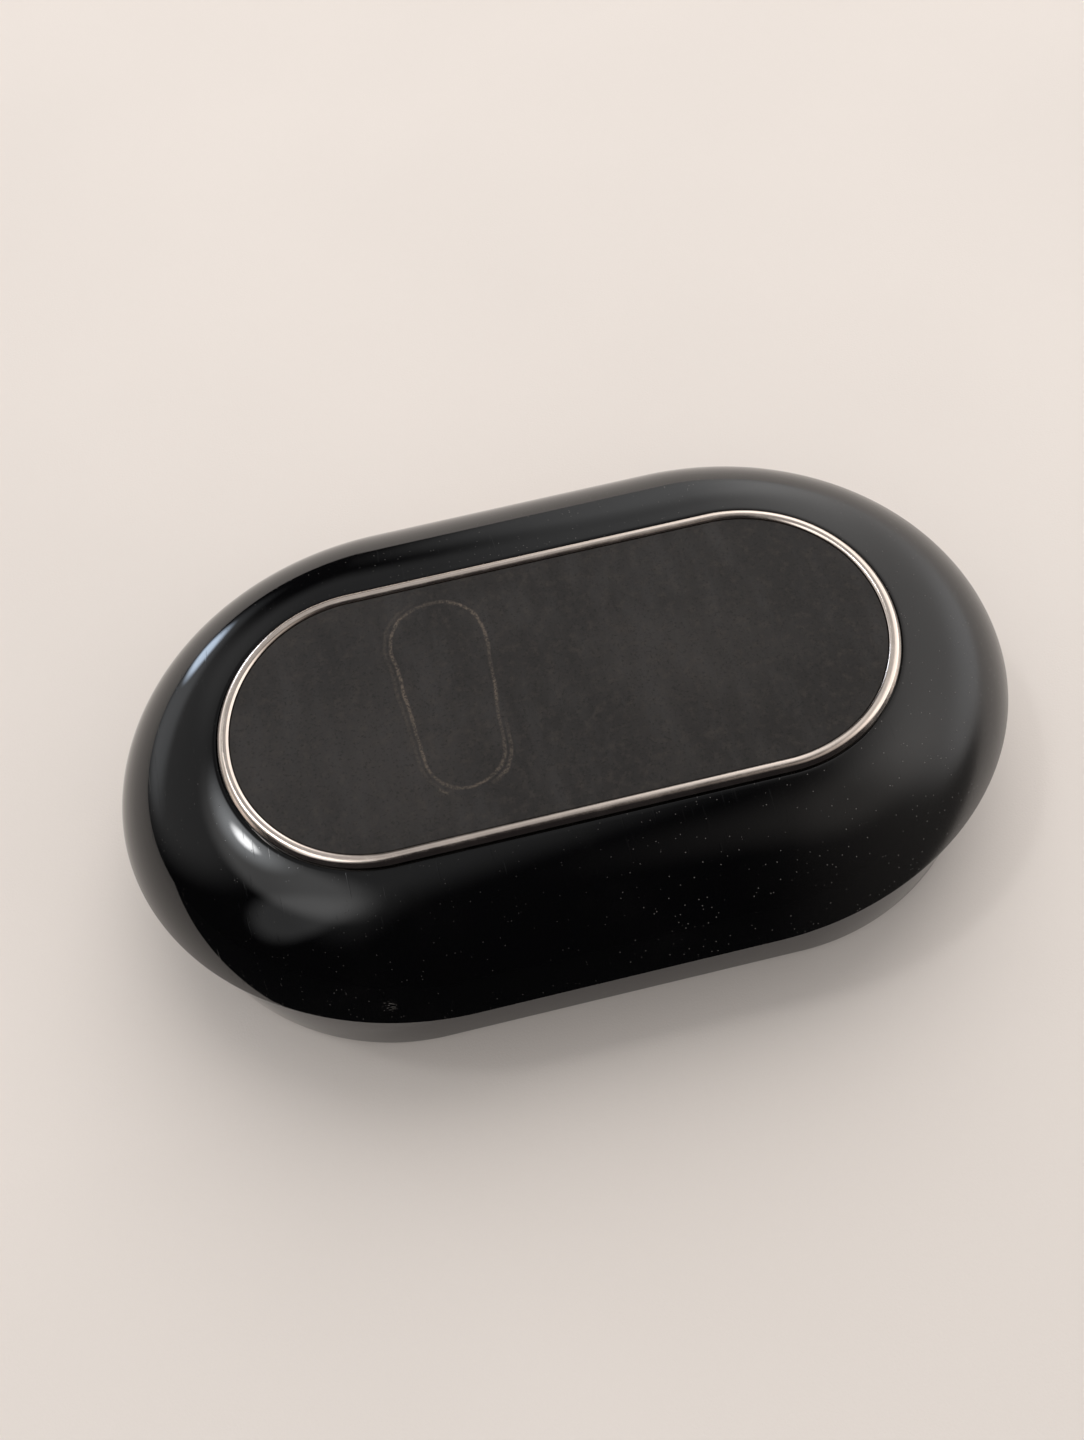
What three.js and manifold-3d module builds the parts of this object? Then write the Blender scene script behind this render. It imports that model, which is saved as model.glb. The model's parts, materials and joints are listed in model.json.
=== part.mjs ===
// A hard case with round ends: a domed, hinged lid with a flat panel inside a metal trim ring,
// over a lower shell that is set in all round. A spring-loaded ball inside the front seam holds
// the lid shut. Millimetres, +Z up, front on -Y, standing on z = 0.

import * as THREE from 'three';
import { mergeVertices } from 'three/addons/utils/BufferGeometryUtils.js';
import Module from 'manifold-3d';

const wasm = await Module();
wasm.setup();

// ---------------------------------------------------------------- driving sizes

const GAP = 0.3;                // running or seating gap between neighbours
const PLAN_STEPS = 40;          // facets once round a case outline

// plan outline: two half circles, this far each side of the middle
const HALF_STRAIGHT = 30.35;
const RIM_PINCH = 6.8;          // how much shorter the straight is at the lid's rim
const BASE_RADIUS = 41.95;      // end radius of the lower shell
const RIM_OVERHANG = 2.6;       // how far the lid's rim stands out over the lower shell

// heights
const SEAM = 19.9;              // underside of the lid's rim
const FOOT = 0.8;               // underside of the lower shell

// lower shell
const BASE_WALL = 3.5;
const FLOOR = 2.2;
const TONGUE = 1.5;             // thickness of the tongue that stands up inside the lid
const TONGUE_RISE = 3.0;
const FOOT_ROUND = 0.5;
const FLOOR_ROUND = 2;          // inside corner between floor and wall
const SOLE_INSET = 1.6;
const SOLE = 1.1;
const SOLE_RECESS = 0.6;

// lid shell
const LID_WALL = 2.6;
const SHOULDER_RADIUS = 23.1;   // section radius of the domed shoulder
const SHOULDER_START = 4;       // slope of the shoulder at the ring, degrees
const SHOULDER_END = 70;        // and at the rim
const RIM_ROUND = 0.8;
const CROWN = 2.2;              // thickness of the flat crown under the panel
const CROWN_RECESS = 1.2;       // depth of the recess that the panel and ring are let into

// ring and panel
const RING_WIDTH = 1.95;
const RING_CREST_RISE = 1.15;   // ring and panel heights, above the top of the shoulder
const RING_INSIDE_RISE = 0.85;
const RING_OUTSIDE_RISE = 0.3;
const PANEL_RISE = 0.75;
const RING_CREST_AT = 0.8;      // crest, from the ring's inner edge
const PANEL_ROUND = 0.2;
const POST_RADIUS = 0.6;
const POST_LENGTH_BELOW = 1.2;  // how far the ring's posts come through the crown
const POSTS_EACH_SIDE = 3;
const POST_INSET = 4.35;        // outer posts, from the ends of the straight
const NUT_RADIUS = 2.2;
const NUT_THICK = 0.5;

// hinge
const HINGE_LENGTH = 36;
const KNUCKLES = 5;
const KNUCKLE_RADIUS = 1.4;
const PIN_RADIUS = 0.6;
const LEAF = 1.0;
const BASE_LEAF_DROP = 8;       // height of the lower leaf below the pin
const LID_LEAF_REACH = 3.0;     // depth of the upper leaf, front to back
const HINGE_SCREW_EDGE = 5;     // outer screws, from the ends of a leaf

// small screws
const SCREW_HEAD = 1.2;
const SCREW_HEAD_THICK = 0.5;
const SCREW_SHANK = 0.55;
const SLOT_WIDTH = 0.35;
const SLOT_DEPTH = 0.25;

// ball catch
const BALL_RADIUS = 1.8;
const BALL_PROUD = 0.69;        // how far the ball stands out of its block
const BALL_ABOVE_SEAM = 2.0;
const BORE_GAP = 0.25;          // round the ball
const LIP = 0.25;
const LIP_OVERLAP = 0.1;        // how much the lip closes in on the ball
const BLOCK_WIDTH = 18;
const BLOCK_DEPTH = 7.3;
const BLOCK_ABOVE_BORE = 0.75;
const BLOCK_HEAD_DROP = 1.4;    // underside of the block's head, below the seam
const BLOCK_ABOVE_FLOOR = 4.4;
const SPRING_RADIUS = 1.25;     // to the middle of the wire
const SPRING_WIRE = 0.22;
const SPRING_TURNS = 5;
const PLUG_THICK = 1.1;
const STRIKE_WIDTH = 14;
const STRIKE_HEIGHT = 4.2;
const STRIKE = 0.8;
const STRIKE_SCREW_EDGE = 2;
const BLOCK_SCREW_EDGE = 3;
const BLOCK_SCREW_RISE = 4;     // above the block's foot

// linings
const TRAY = 1.2;
const TRAY_BELOW_TONGUE = 1.0;
const CUSHION_CLEAR = 1.45;     // between the cushion and the catch block
const BOARD = 1.1;
const BOARD_INSET = 0.8;
const CUSHION = 4.4;
const LID_BOARD_REACH = 4.2;    // past the axis of the shoulder's arc
const LID_PAD = 1.4;
const LINING_ABOVE_BLOCK = 1.1;

// ---------------------------------------------------------------- worked-out sizes

const radians = THREE.MathUtils.degToRad;
const degrees = THREE.MathUtils.radToDeg;
const BASE_INNER = BASE_RADIUS - BASE_WALL;
const TONGUE_OUTER = BASE_INNER + TONGUE;
const TONGUE_TOP = SEAM - GAP + TONGUE_RISE;
const REBATE_RADIUS = TONGUE_OUTER + GAP + 0.05;
const FLOOR_TOP = FOOT + FLOOR + SOLE_RECESS;
const RIM_RADIUS = BASE_RADIUS + RIM_OVERHANG;
const RIM_EDGE = RIM_RADIUS - RIM_ROUND;
const RIM_ARC = SHOULDER_RADIUS - RIM_ROUND;
const SHOULDER_AXIS = RIM_EDGE - RIM_ARC * Math.sin(radians(SHOULDER_END));
const SHOULDER_LEVEL = SEAM + RIM_ROUND - RIM_ARC * Math.cos(radians(SHOULDER_END));
const SHOULDER_INNER = SHOULDER_AXIS + SHOULDER_RADIUS * Math.sin(radians(SHOULDER_START));
const SHOULDER_TOP = SHOULDER_LEVEL + SHOULDER_RADIUS * Math.cos(radians(SHOULDER_START));
const RECESS_FLOOR = SHOULDER_TOP - CROWN_RECESS;
const CROWN_UNDERSIDE = RECESS_FLOOR - CROWN;
const RING_OUTER = SHOULDER_INNER - GAP;
const RING_INNER = RING_OUTER - RING_WIDTH;
const POST_TIP = CROWN_UNDERSIDE - POST_LENGTH_BELOW;
const HINGE_Y = BASE_RADIUS + GAP + KNUCKLE_RADIUS;
const HINGE_Z = SEAM - GAP - KNUCKLE_RADIUS;
const KNUCKLE = HINGE_LENGTH / KNUCKLES;
const BLOCK_FACE = -TONGUE_OUTER;
const BLOCK_BACK = BLOCK_FACE + BLOCK_DEPTH;
const BALL_HEIGHT = SEAM + BALL_ABOVE_SEAM;
const BALL_Y = BLOCK_FACE - BALL_PROUD + BALL_RADIUS;
const BORE_RADIUS = BALL_RADIUS + BORE_GAP;
const BLOCK_TOP = BALL_HEIGHT + BORE_RADIUS + BLOCK_ABOVE_BORE;
const BLOCK_HEAD_BOTTOM = SEAM - BLOCK_HEAD_DROP;
const BLOCK_BOTTOM = FLOOR_TOP + BLOCK_ABOVE_FLOOR;
const STRIKE_FACE = -REBATE_RADIUS;
const STRIKE_Z = BALL_HEIGHT + 0.3;
const BALL_IN_STRIKE = BALL_RADIUS - (STRIKE_FACE - (BALL_Y - BALL_RADIUS));
const STRIKE_HOLE = Math.sqrt(BALL_RADIUS ** 2 - BALL_IN_STRIKE ** 2) + GAP;
const CUSHION_RADIUS = -BLOCK_BACK - CUSHION_CLEAR;
const LID_LINING_EDGE = BLOCK_TOP + LINING_ABOVE_BLOCK;
// the hinge stands out at the back, so the middle of the whole case is a little behind the plan's
const MIDDLE_Y = (HINGE_Y + KNUCKLE_RADIUS - RIM_RADIUS) / 2;

// ---------------------------------------------------------------- solids

// Position-only geometry with shared vertices and no collapsed faces.
function weld(geometry) {
  const plain = geometry.clone();
  for (const name of ['normal', 'uv']) plain.deleteAttribute(name);
  const merged = mergeVertices(plain, 1e-5);
  const kept = [];
  for (let i = 0; i < merged.index.count; i += 3) {
    const [a, b, c] = [0, 1, 2].map((k) => merged.index.getX(i + k));
    if (a !== b && b !== c && c !== a) kept.push(a, b, c);
  }
  merged.setIndex(kept);
  return merged;
}

function toManifold(geometry) {
  const welded = weld(geometry);
  return new wasm.Manifold(new wasm.Mesh({
    numProp: 3,
    vertProperties: new Float32Array(welded.attributes.position.array),
    triVerts: new Uint32Array(welded.index.array),
  }));
}

function toGeometry(manifold) {
  const mesh = manifold.getMesh();
  const geometry = new THREE.BufferGeometry();
  geometry.setAttribute('position', new THREE.BufferAttribute(mesh.vertProperties.slice(), 3));
  geometry.setIndex(new THREE.BufferAttribute(mesh.triVerts.slice(), 1));
  return geometry;
}

function cut(geometry, ...tools) {
  let body = toManifold(geometry);
  for (const tool of tools) body = body.subtract(toManifold(tool));
  return toGeometry(body);
}

function join(...pieces) {
  let body = toManifold(pieces[0]);
  for (const piece of pieces.slice(1)) body = body.add(toManifold(piece));
  return toGeometry(body);
}

// Box between two corners.
function block(x0, x1, y0, y1, z0, z1) {
  const geometry = new THREE.BoxGeometry(x1 - x0, y1 - y0, z1 - z0);
  return geometry.translate((x0 + x1) / 2, (y0 + y1) / 2, (z0 + z1) / 2);
}

// Round bar along X, Y or Z, between two places on that axis.
function bar(axis, radius, from, to, [u, v], steps = 20) {
  const geometry = new THREE.CylinderGeometry(radius, radius, to - from, steps);
  const middle = (from + to) / 2;
  if (axis === 'x') return geometry.rotateZ(-Math.PI / 2).translate(middle, u, v);
  if (axis === 'y') return geometry.translate(u, middle, v);
  return geometry.rotateX(Math.PI / 2).translate(u, v, middle);
}

const level = () => ({ shift: HALF_STRAIGHT, stretch: 1 });

// The lid's outline keeps its length but has a shorter straight, the more so towards the rim.
function pinched(radius) {
  const share = THREE.MathUtils.clamp((radius - RING_OUTER) / (RIM_RADIUS - RING_OUTER), 0, 1);
  const shift = HALF_STRAIGHT - RIM_PINCH * share;
  return { shift, stretch: radius > 0 ? (HALF_STRAIGHT + radius - shift) / radius : 1 };
}

// Turns a section (points of end radius and height) round the case's outline: a lathe whose two
// halves are drawn apart along X, which leaves straight sides between two round ends. The facets
// touch the true outline at their middles, so the sides and ends lie at their named sizes.
function oval(section, plan = level, steps = PLAN_STEPS) {
  const half = Math.PI / steps;
  const points = section.map(([radius, height]) => new THREE.Vector2(radius / Math.cos(half), height));
  const closed = points[0].x === 0 && points[points.length - 1].x === 0;
  if (THREE.ShapeUtils.isClockWise(points)) points.reverse();
  if (!closed) points.push(points[0].clone());
  const geometry = new THREE.LatheGeometry(points, steps, half).rotateX(Math.PI / 2);
  const position = geometry.attributes.position;
  for (let i = 0; i < position.count; i++) {
    const x = position.getX(i);
    const radius = Math.hypot(x, position.getY(i)) * Math.cos(half);
    if (radius < 1e-4) {
      position.setXY(i, 0, 0);
      continue;
    }
    const { shift, stretch } = plan(radius);
    position.setX(i, Math.sign(x) * shift + x * stretch);
  }
  return geometry;
}

// Points on a section arc, angle 0 pointing outwards and 90 up.
function arc(radius, height, size, from, to, steps) {
  return Array.from({ length: steps + 1 }, (_, i) => {
    const angle = radians(from + (to - from) * i / steps);
    return [radius + size * Math.cos(angle), height + size * Math.sin(angle)];
  });
}

// Slotted screw whose head's face is at the origin and whose shank points along -Z.
function screw(length) {
  const profile = [[0, -length], [SCREW_SHANK, -length], [SCREW_SHANK, -SCREW_HEAD_THICK],
    [SCREW_HEAD, -SCREW_HEAD_THICK], [SCREW_HEAD, -0.1], [SCREW_HEAD - 0.1, 0], [0, 0]];
  const points = profile.map(([x, y]) => new THREE.Vector2(x, y));
  const turned = new THREE.LatheGeometry(points, 10).rotateX(Math.PI / 2);
  const reach = SCREW_HEAD + 1;
  return cut(turned, block(-reach, reach, -SLOT_WIDTH / 2, SLOT_WIDTH / 2, -SLOT_DEPTH, 1));
}

// The hole that a screw needs, along -Z from a face at the origin.
function screwHole(length) {
  const above = 0.5;
  return join(
    bar('z', SCREW_HEAD + GAP, -SCREW_HEAD_THICK - GAP, above, [0, 0], 12),
    bar('z', SCREW_SHANK + 0.25, -length - GAP, 0, [0, 0], 8),
  );
}

const facing = {
  back: (geometry) => geometry.rotateX(-Math.PI / 2),      // face looks along +Y
  front: (geometry) => geometry.rotateX(Math.PI / 2),      // face looks along -Y
  down: (geometry) => geometry.rotateX(Math.PI),           // face looks along -Z
};

// Copies of a shape made by make(), turned by turn(), one at each place.
function repeat(make, turn, places) {
  return places.map(([x, y, z]) => turn(make()).translate(x, y, z));
}

// ---------------------------------------------------------------- screw places

const HINGE_SCREW_X = HINGE_LENGTH / 2 - HINGE_SCREW_EDGE;
const BASE_LEAF_BOTTOM = HINGE_Z - BASE_LEAF_DROP;
const baseLeafScrews = [-1, 0, 1].map((side) => [side * HINGE_SCREW_X, BASE_RADIUS, BASE_LEAF_BOTTOM + 2.6]);
const LID_LEAF_FRONT = HINGE_Y - LID_LEAF_REACH;
const lidLeafScrews = [-1, 1].map((side) => [side * HINGE_SCREW_X, LID_LEAF_FRONT + 1.6, SEAM]);
const STRIKE_SCREW_X = STRIKE_WIDTH / 2 - STRIKE_SCREW_EDGE;
const strikeScrews = [-1, 1].map((side) => [side * STRIKE_SCREW_X, STRIKE_FACE, STRIKE_Z]);
const BLOCK_SCREW_X = BLOCK_WIDTH / 2 - BLOCK_SCREW_EDGE;
const BLOCK_SCREW_Z = BLOCK_BOTTOM + BLOCK_SCREW_RISE;
const blockScrews = [-1, 1].map((side) => [side * BLOCK_SCREW_X, BLOCK_BACK, BLOCK_SCREW_Z]);
const BASE_SCREW = 2.7;
const LID_SCREW = 3.2;
const STRIKE_SCREW = 2.3;
const BLOCK_SCREW = BLOCK_DEPTH + 0.6;

// ---------------------------------------------------------------- lower shell and what it carries

function baseShell() {
  const soleRadius = BASE_RADIUS - SOLE_INSET + GAP;
  const shell = oval([
    [0, FOOT + SOLE_RECESS], [soleRadius, FOOT + SOLE_RECESS], [soleRadius, FOOT],
    ...arc(BASE_RADIUS - FOOT_ROUND, FOOT + FOOT_ROUND, FOOT_ROUND, -90, 0, 2),
    [BASE_RADIUS, SEAM - GAP], [TONGUE_OUTER, SEAM - GAP], [TONGUE_OUTER, TONGUE_TOP],
    [BASE_INNER, TONGUE_TOP],
    ...arc(BASE_INNER - FLOOR_ROUND, FLOOR_TOP + FLOOR_ROUND, FLOOR_ROUND, 0, -90, 2), [0, FLOOR_TOP],
  ]);
  const halfHead = BLOCK_WIDTH / 2 + GAP;
  const headRoom = block(-halfHead, halfHead, BLOCK_FACE - GAP, BLOCK_BACK,
    BLOCK_HEAD_BOTTOM - GAP, TONGUE_TOP + 1);
  const halfLeaf = HINGE_LENGTH / 2 + GAP;
  const leafPocket = block(-halfLeaf, halfLeaf, BASE_RADIUS - LEAF - GAP, BASE_RADIUS + 1,
    BASE_LEAF_BOTTOM - GAP, SEAM + 1);
  return cut(shell, headRoom, leafPocket,
    ...repeat(() => screwHole(BASE_SCREW), facing.back, baseLeafScrews),
    ...repeat(() => screwHole(BLOCK_SCREW), facing.back, blockScrews));
}

function solePad() {
  const radius = BASE_RADIUS - SOLE_INSET;
  return oval([[0, 0], [radius, 0], [radius, SOLE], [0, SOLE]]);
}

function hingeLeaf(knuckleIndexes, plate, web) {
  const knuckles = knuckleIndexes.flatMap((index) => {
    const from = -HINGE_LENGTH / 2 + index * KNUCKLE + GAP / 2;
    const to = from + KNUCKLE - GAP;
    return [bar('x', KNUCKLE_RADIUS, from, to, [HINGE_Y, HINGE_Z]), block(from, to, ...web)];
  });
  const pinHole = bar('x', PIN_RADIUS + 0.25, -HINGE_LENGTH, HINGE_LENGTH, [HINGE_Y, HINGE_Z], 14);
  return cut(join(plate, ...knuckles), pinHole);
}

function hingeLeafBase() {
  const half = HINGE_LENGTH / 2;
  const plate = block(-half, half, BASE_RADIUS - LEAF, BASE_RADIUS, BASE_LEAF_BOTTOM, SEAM - GAP);
  const web = [BASE_RADIUS - LEAF / 2, HINGE_Y, HINGE_Z - KNUCKLE_RADIUS, HINGE_Z - PIN_RADIUS];
  return cut(hingeLeaf([0, 2, 4], plate, web),
    ...repeat(() => screwHole(BASE_SCREW), facing.back, baseLeafScrews));
}

function hingeLeafLid() {
  const half = HINGE_LENGTH / 2;
  const plate = block(-half, half, LID_LEAF_FRONT, HINGE_Y, SEAM, SEAM + LEAF);
  const web = [HINGE_Y - 0.9, HINGE_Y, HINGE_Z + PIN_RADIUS, SEAM + LEAF / 2];
  return cut(hingeLeaf([1, 3], plate, web),
    ...repeat(() => screwHole(LID_SCREW), facing.down, lidLeafScrews));
}

function hingePin() {
  const half = HINGE_LENGTH / 2 + 0.3;
  return bar('x', PIN_RADIUS, -half, half, [HINGE_Y, HINGE_Z], 14);
}

// ---------------------------------------------------------------- ball catch

function catchBlock() {
  const half = BLOCK_WIDTH / 2;
  const body = block(-half, half, -BASE_INNER + GAP, BLOCK_BACK, BLOCK_BOTTOM, BLOCK_TOP);
  const head = block(-half, half, BLOCK_FACE, BLOCK_BACK, BLOCK_HEAD_BOTTOM, BLOCK_TOP);
  const bore = bar('y', BORE_RADIUS, BLOCK_FACE + LIP, BLOCK_BACK + 1, [0, BALL_HEIGHT], 24);
  const mouth = bar('y', BALL_RADIUS - LIP_OVERLAP, BLOCK_FACE - 1, BLOCK_BACK, [0, BALL_HEIGHT], 24);
  return cut(join(body, head), bore, mouth,
    ...repeat(() => screwHole(BLOCK_SCREW), facing.back, blockScrews));
}

function catchBall() {
  return new THREE.SphereGeometry(BALL_RADIUS, 16, 10).translate(0, BALL_Y, BALL_HEIGHT);
}

const SPRING_FROM = BALL_Y + BALL_RADIUS + GAP;
const SPRING_TO = BLOCK_BACK - PLUG_THICK - 2 * GAP;

function catchSpring() {
  class Helix extends THREE.Curve {
    getPoint(t, target = new THREE.Vector3()) {
      const angle = t * SPRING_TURNS * 2 * Math.PI;
      const from = SPRING_FROM + SPRING_WIRE;
      const to = SPRING_TO - SPRING_WIRE;
      return target.set(SPRING_RADIUS * Math.cos(angle), from + (to - from) * t,
        BALL_HEIGHT + SPRING_RADIUS * Math.sin(angle));
    }
  }
  const wire = new THREE.Shape();
  wire.absarc(0, 0, SPRING_WIRE, 0, 2 * Math.PI);
  return new THREE.ExtrudeGeometry(wire, {
    extrudePath: new Helix(), steps: SPRING_TURNS * 10, curveSegments: 3, bevelEnabled: false,
  });
}

function catchPlug() {
  const back = BLOCK_BACK - GAP;
  const plug = bar('y', BORE_RADIUS - BORE_GAP, back - PLUG_THICK, back, [0, BALL_HEIGHT], 20);
  return cut(plug, block(-3, 3, back - 0.4, back + 1, BALL_HEIGHT - 0.25, BALL_HEIGHT + 0.25));
}

function strikePlate() {
  const [half, rise] = [STRIKE_WIDTH / 2, STRIKE_HEIGHT / 2];
  const plate = block(-half, half, STRIKE_FACE - STRIKE, STRIKE_FACE, STRIKE_Z - rise, STRIKE_Z + rise);
  const dimple = bar('y', STRIKE_HOLE, STRIKE_FACE - 2, STRIKE_FACE + 1, [0, BALL_HEIGHT], 20);
  return cut(plate, dimple, ...repeat(() => screwHole(STRIKE_SCREW), facing.back, strikeScrews));
}

// ---------------------------------------------------------------- lid

function postPlaces() {
  const radius = RING_INNER + RING_WIDTH / 2;
  const places = [];
  for (let i = 0; i < POSTS_EACH_SIDE; i++) {
    const x = (2 * i / (POSTS_EACH_SIDE - 1) - 1) * (HALF_STRAIGHT - POST_INSET);
    for (const side of [-1, 1]) places.push([x, side * radius]);
  }
  for (const side of [-1, 1]) places.push([side * (HALF_STRAIGHT + radius), 0]);
  return places;
}

function lidShell() {
  const innerArc = SHOULDER_RADIUS - LID_WALL;
  const crownAngle = degrees(Math.asin((CROWN_UNDERSIDE - SHOULDER_LEVEL) / innerArc));
  const rebateAngle = degrees(Math.acos((REBATE_RADIUS - SHOULDER_AXIS) / innerArc));
  const shell = oval([
    [0, RECESS_FLOOR], [SHOULDER_INNER, RECESS_FLOOR],
    ...arc(SHOULDER_AXIS, SHOULDER_LEVEL, SHOULDER_RADIUS, 90 - SHOULDER_START, 90 - SHOULDER_END, 9),
    ...arc(RIM_EDGE, SEAM + RIM_ROUND, RIM_ROUND, 90 - SHOULDER_END, 0, 1),
    ...arc(RIM_EDGE, SEAM + RIM_ROUND, RIM_ROUND, -45, -90, 1),
    [0, SEAM],
  ], pinched);
  const inside = oval([
    [0, SEAM - 1], [REBATE_RADIUS, SEAM - 1],
    ...arc(SHOULDER_AXIS, SHOULDER_LEVEL, innerArc, rebateAngle, crownAngle, 5),
    [0, CROWN_UNDERSIDE],
  ]);
  const halfHead = BLOCK_WIDTH / 2 + 2 * GAP;
  const headRoom = block(-halfHead, halfHead, STRIKE_FACE, BLOCK_BACK, SEAM - 1, BLOCK_TOP + 1.3 * GAP);
  const [half, rise] = [STRIKE_WIDTH / 2 + GAP, STRIKE_HEIGHT / 2 + GAP];
  const strikeRoom = block(-half, half, STRIKE_FACE - STRIKE - GAP, STRIKE_FACE + 1,
    STRIKE_Z - rise, STRIKE_Z + rise);
  const halfLeaf = HINGE_LENGTH / 2 + GAP;
  const leafRoom = block(-halfLeaf, halfLeaf, LID_LEAF_FRONT - GAP, HINGE_Y + GAP,
    SEAM - 1, SEAM + LEAF + GAP);
  const postHoles = postPlaces().map(([x, y]) => (
    bar('z', POST_RADIUS + GAP, CROWN_UNDERSIDE - 1, RECESS_FLOOR + 1, [x, y], 8)));
  return cut(shell, inside, headRoom, strikeRoom, leafRoom, ...postHoles,
    ...repeat(() => screwHole(STRIKE_SCREW), facing.back, strikeScrews),
    ...repeat(() => screwHole(LID_SCREW), facing.down, lidLeafScrews));
}

function trimRing() {
  const foot = RECESS_FLOOR + GAP;
  const crest = RING_INNER + RING_CREST_AT;
  const top = SHOULDER_TOP + RING_CREST_RISE;
  const ring = oval([
    [RING_INNER, foot], [RING_OUTER, foot], [RING_OUTER, SHOULDER_TOP + RING_OUTSIDE_RISE],
    [crest + 0.75, top - 0.33], [crest + 0.35, top - 0.08], [crest, top],
    [RING_INNER + 0.3, top - 0.08], [RING_INNER, SHOULDER_TOP + RING_INSIDE_RISE],
  ]);
  const posts = postPlaces().map(([x, y]) => bar('z', POST_RADIUS, POST_TIP, foot + 0.5, [x, y], 8));
  return join(ring, ...posts);
}

function pushNuts() {
  const top = CROWN_UNDERSIDE - GAP;
  return postPlaces().map(([x, y]) => cut(
    bar('z', NUT_RADIUS, top - NUT_THICK, top, [x, y], 10),
    bar('z', POST_RADIUS + 0.2, top - 2, top + 1, [x, y], 8),
  ));
}

function topPanel() {
  const radius = RING_INNER - GAP;
  const foot = RECESS_FLOOR + GAP;
  const top = SHOULDER_TOP + PANEL_RISE;
  return oval([[0, foot], [radius, foot], [radius, top - PANEL_ROUND], [radius - PANEL_ROUND, top],
    [0, top]]);
}

// ---------------------------------------------------------------- linings

function baseLining() {
  const outer = BASE_INNER - GAP;
  const inner = outer - TRAY;
  const foot = FLOOR_TOP + GAP;
  const rim = TONGUE_TOP - TRAY_BELOW_TONGUE;
  const round = FLOOR_ROUND + 0.2;
  const tray = oval([
    [0, foot], ...arc(outer - round, foot + round, round, -90, 0, 2), [outer, rim],
    [inner, rim], ...arc(inner - round, foot + TRAY + round, round, 0, -90, 2), [0, foot + TRAY],
  ]);
  const half = BLOCK_WIDTH / 2 + 2 * GAP;
  const blockRoom = block(-half, half, -BASE_RADIUS, BLOCK_BACK + 1, BLOCK_BOTTOM - 2 * GAP, rim + 1);
  return cut(tray, blockRoom);
}

const CUSHION_FOOT = FLOOR_TOP + 2 * GAP + TRAY;

function cushionBoard() {
  const radius = CUSHION_RADIUS - BOARD_INSET;
  return oval([[0, CUSHION_FOOT], [radius, CUSHION_FOOT], [radius, CUSHION_FOOT + BOARD],
    [0, CUSHION_FOOT + BOARD]]);
}

function baseCushion() {
  const foot = CUSHION_FOOT + BOARD + GAP;
  const round = 1.5;
  const top = foot + CUSHION;
  return oval([
    [0, foot], ...arc(CUSHION_RADIUS - round, foot + round, round, -90, 0, 2),
    ...arc(CUSHION_RADIUS - round, top - round, round, 0, 90, 2), [0, top],
  ]);
}

const LID_BOARD_TOP = POST_TIP - GAP;

function lidBoard() {
  const bottom = LID_BOARD_TOP - BOARD;
  const radius = SHOULDER_AXIS + LID_BOARD_REACH;
  return oval([[0, bottom], [radius, bottom], [radius, LID_BOARD_TOP], [0, LID_BOARD_TOP]]);
}

function lidLining() {
  const outside = SHOULDER_RADIUS - LID_WALL - 2 * GAP;
  const top = LID_BOARD_TOP - BOARD - GAP;
  const inside = outside - LID_PAD;
  const angleAt = (height, size) => degrees(Math.asin((height - SHOULDER_LEVEL) / size));
  const [from, to] = [angleAt(LID_LINING_EDGE, outside), angleAt(top, outside)];
  const [innerFrom, innerTo] = [angleAt(LID_LINING_EDGE, inside), angleAt(top - LID_PAD, inside)];
  return oval([
    [0, top - LID_PAD], ...arc(SHOULDER_AXIS, SHOULDER_LEVEL, inside, innerTo, innerFrom, 4),
    ...arc(SHOULDER_AXIS, SHOULDER_LEVEL, outside, from, to, 4), [0, top],
  ]);
}

// ---------------------------------------------------------------- assembly

const model = new THREE.Group();
model.position.y = -MIDDLE_Y;

function add(name, geometry, color, roughness, metalness = 0) {
  const mesh = new THREE.Mesh(geometry, new THREE.MeshStandardMaterial({ color, roughness, metalness }));
  mesh.name = name;
  model.add(mesh);
}

function addEach(name, geometries, ...finish) {
  geometries.forEach((geometry, i) => add(`${name}_${i + 1}`, geometry, ...finish));
}

const BLACK = 0x0b0b0d;
const MATT_BLACK = 0x2c2a29;
const NICKEL = 0xc9c2b8;
const STEEL = 0xb9babc;
const BRASS = 0xb59a5b;
const CLOTH = 0x3a1620;
const BOARD_GREY = 0x6b6258;

add('base_shell', baseShell(), BLACK, 0.15);
add('sole_pad', solePad(), 0x161616, 0.95);
add('base_lining', baseLining(), CLOTH, 0.9);
add('cushion_board', cushionBoard(), BOARD_GREY, 0.9);
add('base_cushion', baseCushion(), CLOTH, 0.9);
add('hinge_leaf_base', hingeLeafBase(), NICKEL, 0.3, 1);
addEach('base_leaf_screw', repeat(() => screw(BASE_SCREW), facing.back, baseLeafScrews), STEEL, 0.3, 1);
add('hinge_pin', hingePin(), STEEL, 0.25, 1);
add('catch_block', catchBlock(), BLACK, 0.4);
addEach('catch_screw', repeat(() => screw(BLOCK_SCREW), facing.back, blockScrews), STEEL, 0.3, 1);
add('catch_spring', catchSpring(), STEEL, 0.35, 1);
add('catch_plug', catchPlug(), BRASS, 0.35, 1);
add('catch_ball', catchBall(), STEEL, 0.1, 1);
add('lid_shell', lidShell(), BLACK, 0.12);
add('top_panel', topPanel(), MATT_BLACK, 0.8);
add('trim_ring', trimRing(), NICKEL, 0.2, 1);
addEach('push_nut', pushNuts(), STEEL, 0.4, 1);
add('lid_board', lidBoard(), BOARD_GREY, 0.9);
add('lid_lining', lidLining(), CLOTH, 0.9);
add('hinge_leaf_lid', hingeLeafLid(), NICKEL, 0.3, 1);
addEach('lid_leaf_screw', repeat(() => screw(LID_SCREW), facing.down, lidLeafScrews), STEEL, 0.3, 1);
add('strike_plate', strikePlate(), NICKEL, 0.3, 1);
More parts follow.
